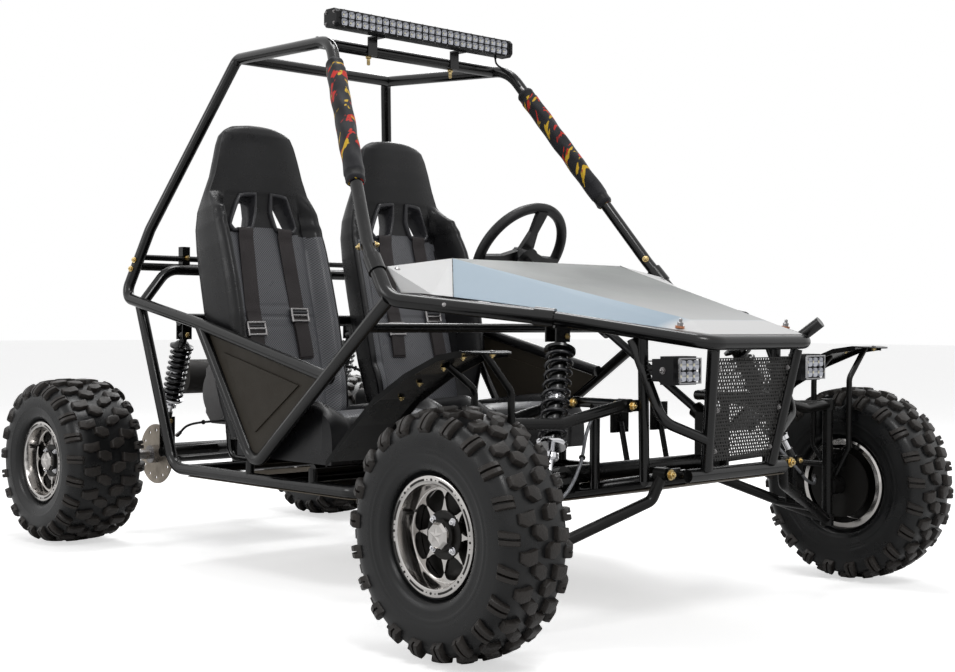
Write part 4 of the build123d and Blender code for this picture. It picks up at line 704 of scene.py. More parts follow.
def build_tyre(wheel, sizes):
    form = TyreForm(wheel)
    line = form.line
    inner = [(line[-1][0] - 8, 104.0), (line[-1][0], 103.0)]
    half = list(line) + [(line[-1][0], 103.0)]
    profile = [(-x, r) for x, r in reversed(half)] + half[1:]
    steps = 112
    rings = []
    for x, r in profile:
        rings.append([(form.hub + Vector((x, r * math.sin(t), r * math.cos(t)))) * MM
                      for t in (2 * math.pi * k / steps for k in range(steps))])
    form.add(*skin(rings, caps=False), 0)
    lining = [(inner[1][0], 103.0), (inner[1][0] * 0.9, 118.0), (-inner[1][0] * 0.9, 118.0), (-inner[1][0], 103.0)]
    rings = []
    for x, r in lining:
        rings.append([(form.hub + Vector((x, r * math.sin(t), r * math.cos(t)))) * MM
                      for t in (2 * math.pi * k / steps for k in range(steps))])
    form.add(*skin(rings, caps=False), 0)
    pitches = sizes.lug_pitches
    height = sizes.lug_height / MM
    turn = 2 * math.pi * (wheel["radius"] - 6.0) / pitches
    scale = wheel["width"] / 162.0
    edge = wheel["width"] / 2
    for i in range(pitches):
        for side in (-1, 1):
            at = (i + (0.5 if side > 0 else 0.0)) * turn
            form.shoulder(side, at, edge * 0.70, edge + 16.0, turn * 0.38, height, 7.0)
            a, b = 2.0 * scale * side, 29.0 * scale * side
            form.block([(a, -15.0), (mix(a, b, 0.45), -18.0), (b, -6.0), (b, 11.0), (mix(a, b, 0.4), 12.0), (a, 3.0)],
                       height, at + turn * 0.18)
            c, d = 26.0 * scale * side, edge * 0.70 * side
            form.block([(c, -12.0), (mix(c, d, 0.6), -17.0), (d, -10.0), (d, 8.0), (mix(c, d, 0.5), 9.0), (c, 13.0)],
                       height * 0.9, at + turn * 0.56)
    piece = form.piece("tread_" + wheel["name"], wheel["body"], [made("rubber"), made("lug")], 40)
    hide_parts(wheel["name"])
    return piece


def wheel_places(wheel):
    """Wheel centre, outward direction and two directions in the wheel's plane."""
    return mm(wheel["x"], wheel["y"], wheel["z"]), Vector((wheel["side"], 0, 0)), Vector((0, 1, 0)), Vector((0, 0, 1))


def build_rim(wheel):
    """A polished dish with slots and dots in its lip, eight petal windows, nuts and a starred cap."""
    centre, out, a, b = wheel_places(wheel)
    form = Form()
    face = wheel["face"]

    def polar(radius, angle, along):
        return centre + out * along * MM + (a * math.cos(angle) + b * math.sin(angle)) * radius * MM

    profile = [(-face, 98), (-face, 108), (-face + 3, 113), (-face + 9, 111), (-face + 9, 101.5), (face - 9, 101.5),
               (face - 9, 111), (face - 4, 114), (face - 0.8, 113.4), (face, 112), (face, 100), (face - 1.5, 98),
               (face - 8, 96), (face - 20, 93), (face - 33, 90.5), (face - 34, 89), (face - 40, 89), (face - 43, 94),
               (-face + 8, 95), (-face, 98)]
    form.add(*skin([[polar(r, 2 * math.pi * k / 96, x) for k in range(96)] for x, r in profile], caps=False), 0)
    depth = face - 34
    count = 8
    steps = 24
    columns = []
    for i in range(count):
        for k in range(steps):
            u = 2 * k / steps - 1
            angle = 2 * math.pi * (i + 0.5 + u / 2) / count
            inside = min(abs(u) / 0.93, 1.0)
            r_out = 71 + 15.5 * (1 - inside ** 2.6) ** (1 / 2.6)
            r_in = 71 - 29.0 * (1 - inside ** 2.2) ** (1 / 2.1)
            columns.append((angle, r_in, r_out))
    for pair in (0, 1):
        rings = []
        for angle, r_in, r_out in columns + columns[:1]:
            low, high = (34.0, r_in) if pair == 0 else (r_out, 91.0)
            rings.append([polar(low, angle, depth), polar(high, angle, depth), polar(high, angle, depth - 7),
                          polar(low, angle, depth - 7)])
        form.add(*skin(rings, caps=False), 0)
    # A black plate behind the windows: partly the dark hub behind them, partly painted shade for the shadow inside the
    # wheel.
    form.add(*skin([[polar(r, 2 * math.pi * k / 48, x) for k in range(48)]
                    for x, r in ((depth - 26, 93), (depth - 28, 93), (depth - 28, 30), (depth - 26, 30))], caps=True), 3)
    for i in range(8):
        mid = 2 * math.pi * (i + 0.5) / 8
        rows = []
        for k in range(9):
            t = mid + (k / 8 - 0.5) * 0.40
            rows.append([polar(108.2, t, face - 0.2), polar(108.2, t, face + 0.4), polar(104.0, t, face + 0.4),
                         polar(104.0, t, face - 0.2)])
        form.add(*skin(rows), 1)
        t = 2 * math.pi * i / 8
        form.add(*turned([(0, 0.0026), (0.0006, 0.0026)], polar(106.0, t, face), out, 12), 1)
        for step in (-0.115, 0.115):
            form.add(*turned([(0, 0.0013), (0.0006, 0.0013)], polar(106.0, t + step, face), out, 8), 1)
    hub = [(-4, 47), (1.5, 46.5), (3, 44), (3, 30)]
    form.add(*skin([[polar(r, 2 * math.pi * k / 48, depth + x) for k in range(48)] for x, r in hub]), 3)
    for i in range(4):
        bolt(form, polar(38.0, 2 * math.pi * (i + 0.5) / 4, depth + 3), out, 0.0062, (2, 2))
    ring = [(2, 31), (9, 31), (11, 29.5), (11, 28)]
    form.add(*skin([[polar(r, 2 * math.pi * k / 48, depth + x) for k in range(48)] for x, r in ring]), 3)
    cap = [(9, 28.0), (17, 27.0), (21, 23.5), (22, 22.5)]
    form.add(*skin([[polar(r, 2 * math.pi * (k + 0.5) / 8, depth + x) for k in range(8)] for x, r in cap]), 0)
    tip = polar(0, 0, depth + 26.5)
    star = [polar(20.0 if i % 2 == 0 else 8.0, math.pi / 2 + math.pi * i / 5, depth + 21.8) for i in range(10)]
    form.add(star + [tip], [(i, (i + 1) % 10, 10) for i in range(10)], 0)
    form.add(*turned([(0, 0.0030), (0.018, 0.0028), (0.020, 0.002)], polar(88.0, 0.4, face - 28), out, 10), 1)
    name = wheel["name"].replace("tyre", "rim")
    piece = form.piece("polished_" + name, wheel["body"],
                       [made("alloy"), made("alloy_dark"), made("chrome"), made("iron")], 30)
    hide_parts(name)
    return piece


# Seats

BACK_ROWS = (
    (0.0, 176.0, 58.0, 10.0, 60.0, 0.0), (96.0, 189.0, 62.0, 34.0, 60.0, 0.0), (200.0, 196.5, 62.0, 88.0, 62.0, 0.0),
    (300.0, 197.5, 62.0, 98.0, 62.0, 0.0), (400.0, 196.0, 62.0, 98.0, 60.0, 0.0), (500.0, 194.0, 61.0, 90.0, 58.0, 0.0),
    (562.0, 189.0, 60.0, 76.0, 55.0, 1.0), (610.0, 180.0, 59.0, 60.0, 50.0, 7.0), (650.0, 164.0, 58.0, 46.0, 46.0, 14.0),
    (705.0, 142.0, 57.0, 28.0, 44.0, 27.0), (750.0, 130.0, 56.0, 18.0, 44.0, 36.0), (790.0, 119.0, 55.0, 11.0, 42.0, 42.0),
    (815.0, 109.0, 52.0, 7.0, 36.0, 44.0), (832.0, 90.0, 46.0, 2.0, 32.0, 42.0), (840.0, 72.0, 36.0, -2.0, 26.0, 38.0),
    (844.0, 48.0, 22.0, -4.0, 20.0, 32.0),
)


def back_place(side, across, height, out):
    """A point of the seat back: across and height in its plane, out to the front, in millimetres."""
    foot_y, foot_z = BACK_FOOT
    return mm(side * SEAT_X + across, foot_y + height * math.sin(BACK_LEAN) - out * math.cos(BACK_LEAN),
              foot_z + height * math.cos(BACK_LEAN) + out * math.sin(BACK_LEAN))


SEAMS = ((0.985, 2.2, 3.2), (1.34, 1.6, 2.6))
CHANNELS = (290.0, 318.0, 346.0)


def back_front(height, share, side=0):
    """How far the front stands out at a share of the half width; -1 and 1 are the edges. The inner bolster is low."""
    half, depth, bolster, wide, lean = stepped(BACK_ROWS, height)
    x = abs(share) * half
    flat = half - wide
    fade = 1.0 - min(1.0, max(0.0, (height - 600.0) / 60.0))
    inner = 1.0 if share * side >= 0 else 1.0 - 0.68 * min(1.0, max(0.0, (height - 60.0) / 120.0)) * (0.35 + 0.65 * fade)
    if x < flat:
        out = 5.0 * max(0.0, 1 - (x / max(flat, 1)) ** 2) ** 0.5
    else:
        t = (x - flat) / wide
        rise = math.sin(min(t / 0.62, 1.0) * math.pi / 2) ** 1.3
        fall = max(0.0, (t - 0.70) / 0.30)
        out = bolster * inner * (rise - 0.26 * fall ** 2.4) + 3.0 * math.sin(math.pi * min(t, 1.0))
    crown = 12.0 * (1 - abs(share) ** 3.2)
    out = mix(crown, out, fade)
    for place, deep, wide_seam in SEAMS:
        gap = x - flat * place if place < 1 else x - (flat + wide * (place - 1))
        out -= deep * fade * math.exp(-(gap / wide_seam) ** 2)
    if x < flat:
        for line in CHANNELS:
            out -= 2.2 * math.exp(-((height - line) / 2.0) ** 2)
    if 500 < height < 650 and x > flat * 0.8:
        fan = height + 0.35 * (x - flat)
        out += 1.5 * math.sin(fan / 6.5) * math.exp(-((height - 570) / 34) ** 2) * min(1.0, (x - flat * 0.8) / 14)
    return out + lean


def shell_depth(height, across):
    """Depth of the back shell, thin round the harness slots."""
    depth = stepped(BACK_ROWS, height)[1]
    near = math.exp(-(max(0.0, abs(height - 605.0) - 55.0) / 22.0) ** 2) * math.exp(-(max(0.0, abs(across) - 112.0) / 18.0) ** 2)
    return depth * (1 - 0.84 * near)


def build_back(side, name, sizes):
    form = Form()
    rows = 170
    count = 64
    rings = []
    for i in range(rows + 1):
        height = 844.0 * i / rows
        half, depth, bolster, wide, lean = stepped(BACK_ROWS, height)
        ring = []
        for k in range(count + 1):
            share = math.sin(math.pi * (k / count - 0.5))
            share = 0.55 * share + 0.45 * (2 * k / count - 1)
            ring.append(back_place(side, share * half, height, back_front(height, share, side)))
        low = lean - depth
        edges = (back_front(height, 1.0, side), back_front(height, -1.0, side))
        for angle in range(0, 6):
            t = angle / 5
            bulge = math.sin(math.pi * t) * 3.0
            ring.append(back_place(side, half + bulge, height, mix(edges[0] - 4, low + 24, t)))
        for k in range(25):
            t = k / 24
            x = mix(half - 4, -(half - 4), t)
            shell = lean - shell_depth(height, x) + 20 * max(0.0, (abs(x) / half) ** 4)
            rib = 2.5 * math.exp(-((abs(x) - half * 0.55) / 6.0) ** 2)
            ring.append(back_place(side, x, height, shell - rib))
        for angle in range(0, 6):
            t = angle / 5
            bulge = math.sin(math.pi * t) * 3.0
            ring.append(back_place(side, -(half + bulge), height, mix(low + 24, edges[1] - 4, t)))
        rings.append(ring)
    form.add(*skin(rings), 0)
    flat_mark = 1
    ring_size = len(rings[0])
    for index, face in enumerate(form.faces[:rows * ring_size]):
        row, column = divmod(index, ring_size)
        height = 844.0 * (row + 0.5) / rows
        half, depth, bolster, wide, lean = stepped(BACK_ROWS, height)
        if column < count:
            k = column + 0.5
            share = 0.55 * math.sin(math.pi * (k / count - 0.5)) + 0.45 * (2 * k / count - 1)
            reach = (half - wide) * 0.985 if share * side >= 0 else half * 0.93
            if abs(share) * half < reach and height < 552.0 + 14.0 * math.cos(3 * share):
                form.marks[index] = flat_mark
    piece = form.piece("cover_" + name, "chassis", [made("vinyl"), made("insert")], 50)
    cut_slots(piece, side)
    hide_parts(name)
    return piece


SLOT_SHAPE = ((28.0, 44.0), (74.0, 38.0), (104.0, -34.0), (94.0, -46.0), (42.0, -40.0), (30.0, 0.0))


def slot_outline(hand, grow=0.0):
    middle = (sum(p[0] for p in SLOT_SHAPE) / len(SLOT_SHAPE), sum(p[1] for p in SLOT_SHAPE) / len(SLOT_SHAPE))
    result = []
    points = [Vector((x, y, 0)) for x, y in SLOT_SHAPE]
    fine = []
    for a, b, c in zip(points, points[1:] + points[:1], points[2:] + points[:2]):
        fine += [mix(a, b, 0.75), mix(a, b, 0.97) * 0.5 + mix(b, c, 0.03) * 0.5, mix(b, c, 0.25)]
    for p in fine:
        dx, dy = p.x - middle[0], p.y - middle[1]
        size = math.hypot(dx, dy)
        result.append((hand * (p.x + dx / size * grow), SLOT_MIDDLE + p.y + dy / size * grow))
    return result


def cut_slots(piece, side):
    """Cut the two harness slots through the back."""
    for hand in (-1, 1):
        form = Form()
        outline = slot_outline(hand)
        rings = [[back_place(side, x, h, out) for x, h in outline] for out in (-140.0, 160.0)]
        form.add(*skin(rings), 0)
        cutter = form.piece("cutter", "chassis", [made("bezel")])
        change = piece.modifiers.new("slot", "BOOLEAN")
        change.operation = "DIFFERENCE"
        change.solver = "EXACT"
        change.object = cutter
        bpy.context.view_layer.update()
        depsgraph = bpy.context.evaluated_depsgraph_get()
        cut = bpy.data.meshes.new_from_object(piece.evaluated_get(depsgraph))
        piece.modifiers.clear()
        if len(cut.vertices) > 1000:
            piece.data = cut
        bpy.data.objects.remove(cutter)
    piece.data.shade_smooth()
    piece.data.set_sharp_from_angle(angle=math.radians(50))


def build_bezels(side):
    """Raised plastic rings in the slots of one back."""
    form = Form()
    for hand in (-1, 1):
        rings = []
        for grow, lift in ((-1.0, -40.0), (-1.0, 6.0), (2.0, 9.0), (8.0, 8.0), (11.0, 3.0), (11.0, -4.0)):
            ring = []
            for x, h in slot_outline(hand, grow):
                half = stepped(BACK_ROWS, h)[0]
                ring.append(back_place(side, x, h, min(back_front(h, x / half, side), 60) + lift if lift > -30 else lift))
            rings.append(ring)
        form.add(*skin(rings, caps=False), 0)
    piece = form.piece("bezels_" + ("right" if side < 0 else "left"), "chassis", [made("bezel")], 60)
    return piece


CUSHION_LINE = ((-235.0, 302.0), (-238.0, 340.0), (-234.0, 380.0), (-222.0, 404.0), (-200.0, 416.0), (-160.0, 419.0),
                (-60.0, 409.0), (40.0, 397.0), (120.0, 388.0), (150.0, 384.0))


def build_cushion(side, name):
    """A crowned cushion with a rolled front, side bolsters, a seam and cross channels."""
    form = Form()
    line = rounded_line([Vector((y, z, 0)) for y, z in CUSHION_LINE], 9)
    half = 197.0
    count = 56
    rings = []
    for index, p in enumerate(line):
        ring = []
        before = line[max(index - 1, 0)]
        after = line[min(index + 1, len(line) - 1)]
        tangent = (after - before).normalized()
        normal = Vector((-tangent.y, tangent.x, 0))
        if normal.y < 0 and tangent.x > 0:
            normal = -normal
        for k in range(count + 1):
            share = 2 * k / count - 1
            x = share * half
            wide = 62.0
            flat = half - wide
            if abs(x) < flat:
                lift = 7.0 * (1 - (x / flat) ** 2) ** 0.5 * min(1.0, max(0.0, (p.x + 235) / 60))
            else:
                t = (abs(x) - flat) / wide
                rise = min(1.0, max(0.0, (p.x + 236) / 80))
                lift = (30.0 * math.sin(min(t / 0.6, 1.0) * math.pi / 2) ** 1.4 - 22.0 * max(0.0, (t - 0.6) / 0.4) ** 2.4) * rise
            for seam, deep, width in ((flat, 2.6, 3.0),):
                lift -= deep * math.exp(-((abs(x) - seam) / width) ** 2)
            if abs(x) < flat:
                for channel in (-150.0, -60.0, 30.0):
                    lift -= 2.0 * math.exp(-((p.x - channel) / 2.6) ** 2)
            ring.append(mm(side * SEAT_X + x, p.x + normal.x * lift, p.y + normal.y * lift))
        ring.append(mm(side * SEAT_X + half, max(p.x, -232.0) + 0.0, 301.0))
        ring.append(mm(side * SEAT_X - half, max(p.x, -232.0) + 0.0, 301.0))
        rings.append(ring)
    form.add(*skin(rings), 0)
    size = len(rings[0])
    for index in range((len(rings) - 1) * size):
        row, column = divmod(index, size)
        if column < count and abs(2 * (column + 0.5) / count - 1) * half < half - 62.0 and line[row].x > -215.0:
            form.marks[index] = 1
    piece = form.piece("cover_" + name, "chassis", [made("vinyl"), made("insert")], 50)
    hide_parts(name)
    return piece


def strap(form, side, line, width, thickness=1.6, mark=0):
    """A band along places on the seat back (across, height, stand above the front)."""
    rings = []
    places = []
    for across, height, stand in line:
        half = stepped(BACK_ROWS, height)[0]
        share = max(-1.0, min(1.0, across / half))
        places.append((across, height, back_front(height, share, side) + stand))
    for i, (across, height, out) in enumerate(places):
        ahead = places[min(i + 1, len(places) - 1)]
        behind = places[max(i - 1, 0)]
        slope = math.atan2(ahead[0] - behind[0], behind[1] - ahead[1] + 1e-6)
        dx, dh = math.cos(slope) * width / 2, math.sin(slope) * width / 2
        ring = []
        for t in (-1, -0.5, 0, 0.5, 1):
            bow = 0.6 * (1 - t * t)
            ring.append(back_place(side, across + dx * t, height + dh * t, out + bow + thickness))
        for t in (1, 0.5, 0, -0.5, -1):
            bow = 0.6 * (1 - t * t)
            ring.append(back_place(side, across + dx * t, height + dh * t, out + bow - 0.4))
        rings.append(ring)
    form.add(*skin(rings), mark)


def build_harness(side, name, sizes):
    """Two shoulder straps with ladder buckles and a doubled tail."""
    form = Form()
    width = sizes.belt_width / MM - 2
    for hand in (-1, 1):
        line = [(hand * 64.0, 561.0, -16.0), (hand * 64.0, 563.0, 0.0), (hand * 64.0, 561.0, 9.0), (hand * 64.0, 552.0, 10.5)]
        for i in range(24):
            t = i / 23
            line.append((hand * mix(64.0, 78.0, t), mix(538.0, 200.0, t), 5.5 - 3.0 * min(1.0, 4 * t) + 1.2 * math.sin(9 * t)))
        strap(form, side, line, width)
        tail = [(hand * mix(73.0, 79.0, i / 11), mix(330.0, 205.0, i / 11), 5.0 + 2.2 * math.sin(3 * i / 11)) for i in range(12)]
        strap(form, side, tail, width - 2)
        height = 320.0 if hand > 0 else 282.0
        for step, (low, high) in enumerate(((-19.0, -14.0), (-3.0, 2.0), (14.0, 19.0))):
            bar = [(hand * 74.0 - 27.0 + 54.0 * i / 4, height + (low + high) / 2, 8.5) for i in range(5)]
            points = [back_place(side, a, h, back_front(h, a / 190.0, side) + s) for a, h, s in bar]
            form.add(*swept(points, 0.0042, 8), 1)
        plate_line = [(hand * 74.0 - 25.0 + 50.0 * i / 4, height + 8.0, 7.0) for i in range(5)]
        points = [back_place(side, a, h, back_front(h, a / 190.0, side) + s) for a, h, s in plate_line]
        form.add(*swept(points, 0.0056, 8), 2)
        for edge in (-27.0, 27.0):
            bar = [(hand * 74.0 + edge, height - 19.0 + 38.0 * i / 4, 8.5) for i in range(5)]
            points = [back_place(side, a, h, back_front(h, a / 190.0, side) + s) for a, h, s in bar]
            form.add(*swept(points, 0.0042, 8), 1)
    piece = form.piece("straps_" + name, "chassis", [made("webbing"), made("steel"), made("bezel")], 50)
    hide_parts(name)
    return piece


# Roof pads, springs, lamps, grille

def build_pads():
    """Foam sleeves with a lapped seam, end bands and painted streaks."""
    for name, side in SIDES:
        low = mirrored(mix(PILLAR_JOINT, ROOF_FRONT, 0.29), side)
        high = mirrored(mix(PILLAR_JOINT, ROOF_FRONT, 0.885), side)
        axis = (high - low).normalized()
        across, up = square_to(axis)
        length = (high - low).length
        form = Form()
        rings = []
        rows = 90
        for i in range(rows + 1):
            t = i / rows
            along = t * length
            round_end = min(1.0, 0.80 + 0.2 * math.sqrt(min(along, length - along) / 0.012)) if min(along, length - along) < 0.012 else 1.0
            band = 0.0016 if 0.012 < along < 0.030 or 0.012 < length - along < 0.030 else 0.0
            ring = []
            for k in range(40):
                a = 2 * math.pi * k / 40
                swell = 0.0006 * math.sin(5 * a + 19 * t) + 0.0007 * math.sin(31 * t + 2 * a)
                lap = 0.0012 if 2.2 < a < 2.7 else 0.0
                radius = (0.0238 + swell + lap - band) * round_end
                ring.append(low + axis * along + (across * math.cos(a) + up * math.sin(a)) * radius)
            rings.append(ring)
        form.add(*skin(rings), 0)
        for index in range(rows * 40):
            row, column = divmod(index, 40)
            t = row / rows
            if t < 0.17 or t > 0.95:
                form.marks[index] = 1
            if 0.03 < t < 0.065 or 0.935 < t < 0.97:
                form.marks[index] = 2
        piece = form.piece("cover_roof_pad_" + name, "chassis",
                           [made("pad_print"), made("foam"), made("tie")], 40)
        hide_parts("roof_pad_" + name)


def coil(form, foot, top, radius, wire, turns, mark):
    axis = (top - foot).normalized()
    across, up = square_to(axis)
    length = (top - foot).length
    steps = turns * 20
    path = []
    for i in range(steps + 1):
        t = i / steps
        along = length * (t if 0.06 < t < 0.94 else (t * 0.5 + 0.03 if t <= 0.06 else 1 - ((1 - t) * 0.5 + 0.03)))
        angle = 2 * math.pi * turns * t
        path.append(foot + axis * along + (across * math.cos(angle) + up * math.sin(angle)) * radius)
    form.add(*swept(path, wire, 10), mark)


def build_springs(sizes):
    """Coil-overs: wound springs, shafts, collars and eyes."""
    for group, (top, foot) in (("front_shocks", FRONT_SHOCK), ("rear_shocks", REAR_SHOCK)):
        form = Form()
        for _, side in SIDES:
            head = mirrored(top, side)
            low = mirrored(foot, side)
            axis = (head - low).normalized()
            length = (head - low).length

            def at(distance):
                return low + axis * distance

            form.add(*turned([(0.014, 0.0075), (0.030, 0.0075), (length * 0.30, 0.0075)], low, axis, 20), 1)
            form.add(*turned([(length * 0.16, 0.0125), (length * 0.17, 0.0165), (length * 0.20, 0.0165),
                              (length * 0.21, 0.0125)], low, axis, 24), 1)
            seat_low, seat_high = length * 0.26, length - 0.034
            form.add(*turned([(-0.004, 0.010), (-0.004, 0.030), (0.001, 0.0335), (0.004, 0.0335), (0.006, 0.028),
                              (0.006, 0.012)], at(seat_low), axis, 32), 1)
            form.add(*turned([(-0.006, 0.012), (-0.006, 0.028), (-0.004, 0.0335), (0.002, 0.0335), (0.005, 0.024),
                              (0.014, 0.016), (0.014, 0.008)], at(seat_high), axis, 32), 2)
            body = [(0.006, 0.0175), (seat_high - seat_low, 0.0175)]
            form.add(*turned(body, at(seat_low), axis, 24), 2)
            for k in range(6):
                place = at(seat_low + (seat_high - seat_low) * 0.42 + k * 0.004)
                form.add(*turned([(0, 0.0175), (0.001, 0.0188), (0.0022, 0.0188), (0.0032, 0.0175)], place, axis, 24), 1)
            coil(form, at(seat_low + 0.006), at(seat_high - 0.006), 0.0265, sizes.spring_wire, sizes.coils, 0)
            for end in (low, head):
                eye = Vector((0, 1, 0))
                form.add(*turned([(-0.0125, 0.009), (-0.0125, 0.0125), (-0.011, 0.0135), (0.011, 0.0135), (0.0125, 0.0125),
                                  (0.0125, 0.009)], end, eye, 24), 2)
                bolt(form, end + eye * 0.0125, eye, 0.008, (3, 3))
                bolt(form, end - eye * 0.0125, -eye, 0.008, (3, 3))
                away = axis if end is low else -axis
                form.add(*turned([(0.010, 0.011), (0.030, 0.0105)], end, away, 16), 2)
        piece = form.piece("coil_" + group, "chassis", [made("spring"), made("chrome"), made("frame"), made("zinc")], 40)
        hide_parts(group)


def reflector(form, place, out, across, size, marks, dish=0.0032):
    """A square dished reflector with a lamp chip at its bottom."""
    up = out.cross(across)
    rings = []
    for half, depth in ((1.0, 0.0), (0.86, -0.15), (0.58, -0.65), (0.30, -1.0)):
        ring = []
        for k in range(16):
            a = 2 * math.pi * k / 16
            c, s = math.cos(a), math.sin(a)
            square = 1.0 / max(abs(c), abs(s)) ** (0.5 * half)
            ring.append(place + (across * c + up * s) * size * half * min(square, 1.25) + out * dish * depth)
        rings.append(ring)
    form.add(*skin(rings, caps=False), marks[0])
    last = rings[-1]
    form.add(last, [tuple(range(len(last)))], marks[1])


def build_light_bar(sizes):
    """Two rows of reflectors behind a frame with screws, and bright bracket bolts."""
    form = Form()
    middle = LIGHT_BAR["middle"]
    front = middle + Vector((0, -0.0190, 0))
    out, across = Vector((0, -1, 0)), Vector((1, 0, 0))
    cells = sizes.lamp_cells
    span = 0.584
    pitch = span / cells
    for row in (-1, 1):
        for i in range(cells):
            x = (i - (cells - 1) / 2) * pitch
            reflector(form, front + Vector((x, -0.0036, row * 0.0092)), out, across, min(pitch * 0.44, 0.0094), (0, 1))
    for z in (-0.0195, 0.0, 0.0195):
        low = front + Vector((0, -0.0050, z))
        form.add(*skin([[low + Vector((sx * 0.297, oy, oz)) for oy, oz in
                         ((0.0, -0.0014), (-0.0016, -0.0010), (-0.0016, 0.0010), (0.0, 0.0014))] for sx in (-1, 1)]), 2)
    for i in range(14):
        x = (i - 6.5) * 0.0435
        for z in (-0.0205, 0.0205):
            form.add(*turned([(0, 0.0021), (0.0010, 0.0021), (0.0014, 0.0014)], middle + Vector((x, -0.0230, z)), out, 10), 3)
    for _, side in SIDES:
        for dy, dz in ((-0.016, 0.014), (0.016, 0.014), (-0.016, -0.014), (0.016, -0.014)):
            bolt(form, middle + Vector((side * 0.309, dy, dz)), Vector((side, 0, 0)), 0.0032, (3, 3))
        foot = Vector((side * 0.144, middle.y, 1.328))
        form.add(*turned([(0, 0.0075), (0.004, 0.0075), (0.006, 0.0045), (0.020, 0.0045), (0.022, 0.003)],
                         foot + Vector((0, 0.050, 0.0)), Vector((0, 0, -1)), 12), 4)
    piece = form.piece("light_bar_reflectors", "chassis",
                       [made("mirror"), made("chip"), made("housing"), made("steel"), made("zinc")], 40)
    form = Form()
    for _, side in SIDES:
        pod = mirrored(POD, side)
        face = pod + mm(0, -39.5, 0)
        for row in range(2):
            for column in range(3):
                reflector(form, face + mm((column - 1) * 21.0, 0.4, (row - 0.5) * 23.0), out, across, 0.0102, (0, 1), 0.005)
        outline = 0.0355, 0.0265
        rings = []
        for grow, depth in ((0.0, 0.000), (0.0, -0.0022), (-0.0028, -0.0022), (-0.0028, 0.004)):
            rings.append([face + Vector((sx * (outline[0] + grow), depth, sz * (outline[1] + grow)))
                          for sx, sz in ((-1, -1), (1, -1), (1, 1), (-1, 1))])
        form.add(*skin(rings, caps=False), 2)
        for sx in (-1, 1):
            for sz in (-1, 1):
                form.add(*turned([(0, 0.0022), (0.0016, 0.0020)], face + mm(sx * 31.5, -1.0, sz * 21.5), out, 8), 3)
        bolt(form, pod + mm(side * 37, 0, 0), Vector((side, 0, 0)), 0.006, (3, 3))
        for k in range(5):
            z = (k - 2) * 9.0
            fin = [pod + mm(sx * 27, oy, z + oz) for sx, oy, oz in ((-1, 44, -1.2), (1, 44, -1.2), (1, 44, 1.2), (-1, 44, 1.2))]
            form.add(*skin([fin, [p + mm(0, 7, 0) for p in fin]]), 4)
    piece = form.piece("pod_reflectors", "chassis",
                       [made("mirror"), made("chip"), made("chrome"), made("steel"), made("housing")], 40)


def build_grille(sizes):
    """A ribbed sheet with rows of small holes, bent edges and screws."""
    form = Form()
    up = (GRILLE_TOP - GRILLE_FOOT)
    up.x = 0
    height = up.length
    up.normalize()
    out = Vector((1, 0, 0)).cross(up) * 1.0
    if out.y > 0:
        out = -out
    foot = Vector((0, GRILLE_FOOT.y, GRILLE_FOOT.z))
    low, high = 0.018, height - 0.017
    rows = sizes.grille_rows
    steps = rows * 6

    def half_at(v):
        return mix(GRILLE_FOOT.x, GRILLE_TOP.x, v / height) - 0.0133

    rings = []
    for i in range(steps + 1):
        v = mix(low, high, i / steps)
        wave = 0.0015 * (0.5 + 0.5 * math.cos(2 * math.pi * i / 6)) if 6 <= i <= steps - 6 else 0.0
        half = half_at(v)
        ring = []
        for k in range(13):
            x = mix(-half, half, k / 12)
            ring.append(foot + Vector((x, 0, 0)) + up * v + out * (wave if 0 < k < 12 else 0.0))
        rings.append(ring)
    points, faces = skin(rings, closed=False)
    form.add(points, faces, 0)
    form.add([p - out * 0.0018 for p in points], [tuple(reversed(f)) for f in faces], 0)
    for i in range(1, rows):
        v = mix(low, high, (i + 0.0) / rows) + (high - low) / rows * 0.5
        if v > high - 0.006:
            continue
        half = half_at(v) - 0.014
        columns = sizes.grille_columns
        for k in range(columns):
            x = (k + 0.5 - columns / 2) / columns * 2 * half
            place = foot + Vector((x, 0, 0)) + up * v + out * 0.0003
            form.add(*turned([(0, 0.0019), (0.0002, 0.0019)], place, out, 8), 1)
    for hand in (-1, 1):
        line = [foot + Vector((hand * (half_at(mix(low, high, i / 8)) - 0.003), 0, 0)) + up * mix(low, high, i / 8) for i in range(9)]
        form.add(*swept(line, 0.0028, 8), 0)
        for v in (0.04, height * 0.5, height - 0.04):
            bolt(form, foot + Vector((hand * (half_at(v) - 0.008), 0, 0)) + up * v + out * 0.001, out, 0.0045, (2, 2))
    piece = form.piece("grille_sheet", "chassis", [made("grille"), made("alloy_dark"), made("steel")], 40)
    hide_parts("grille")


# Hood, controls and fasteners

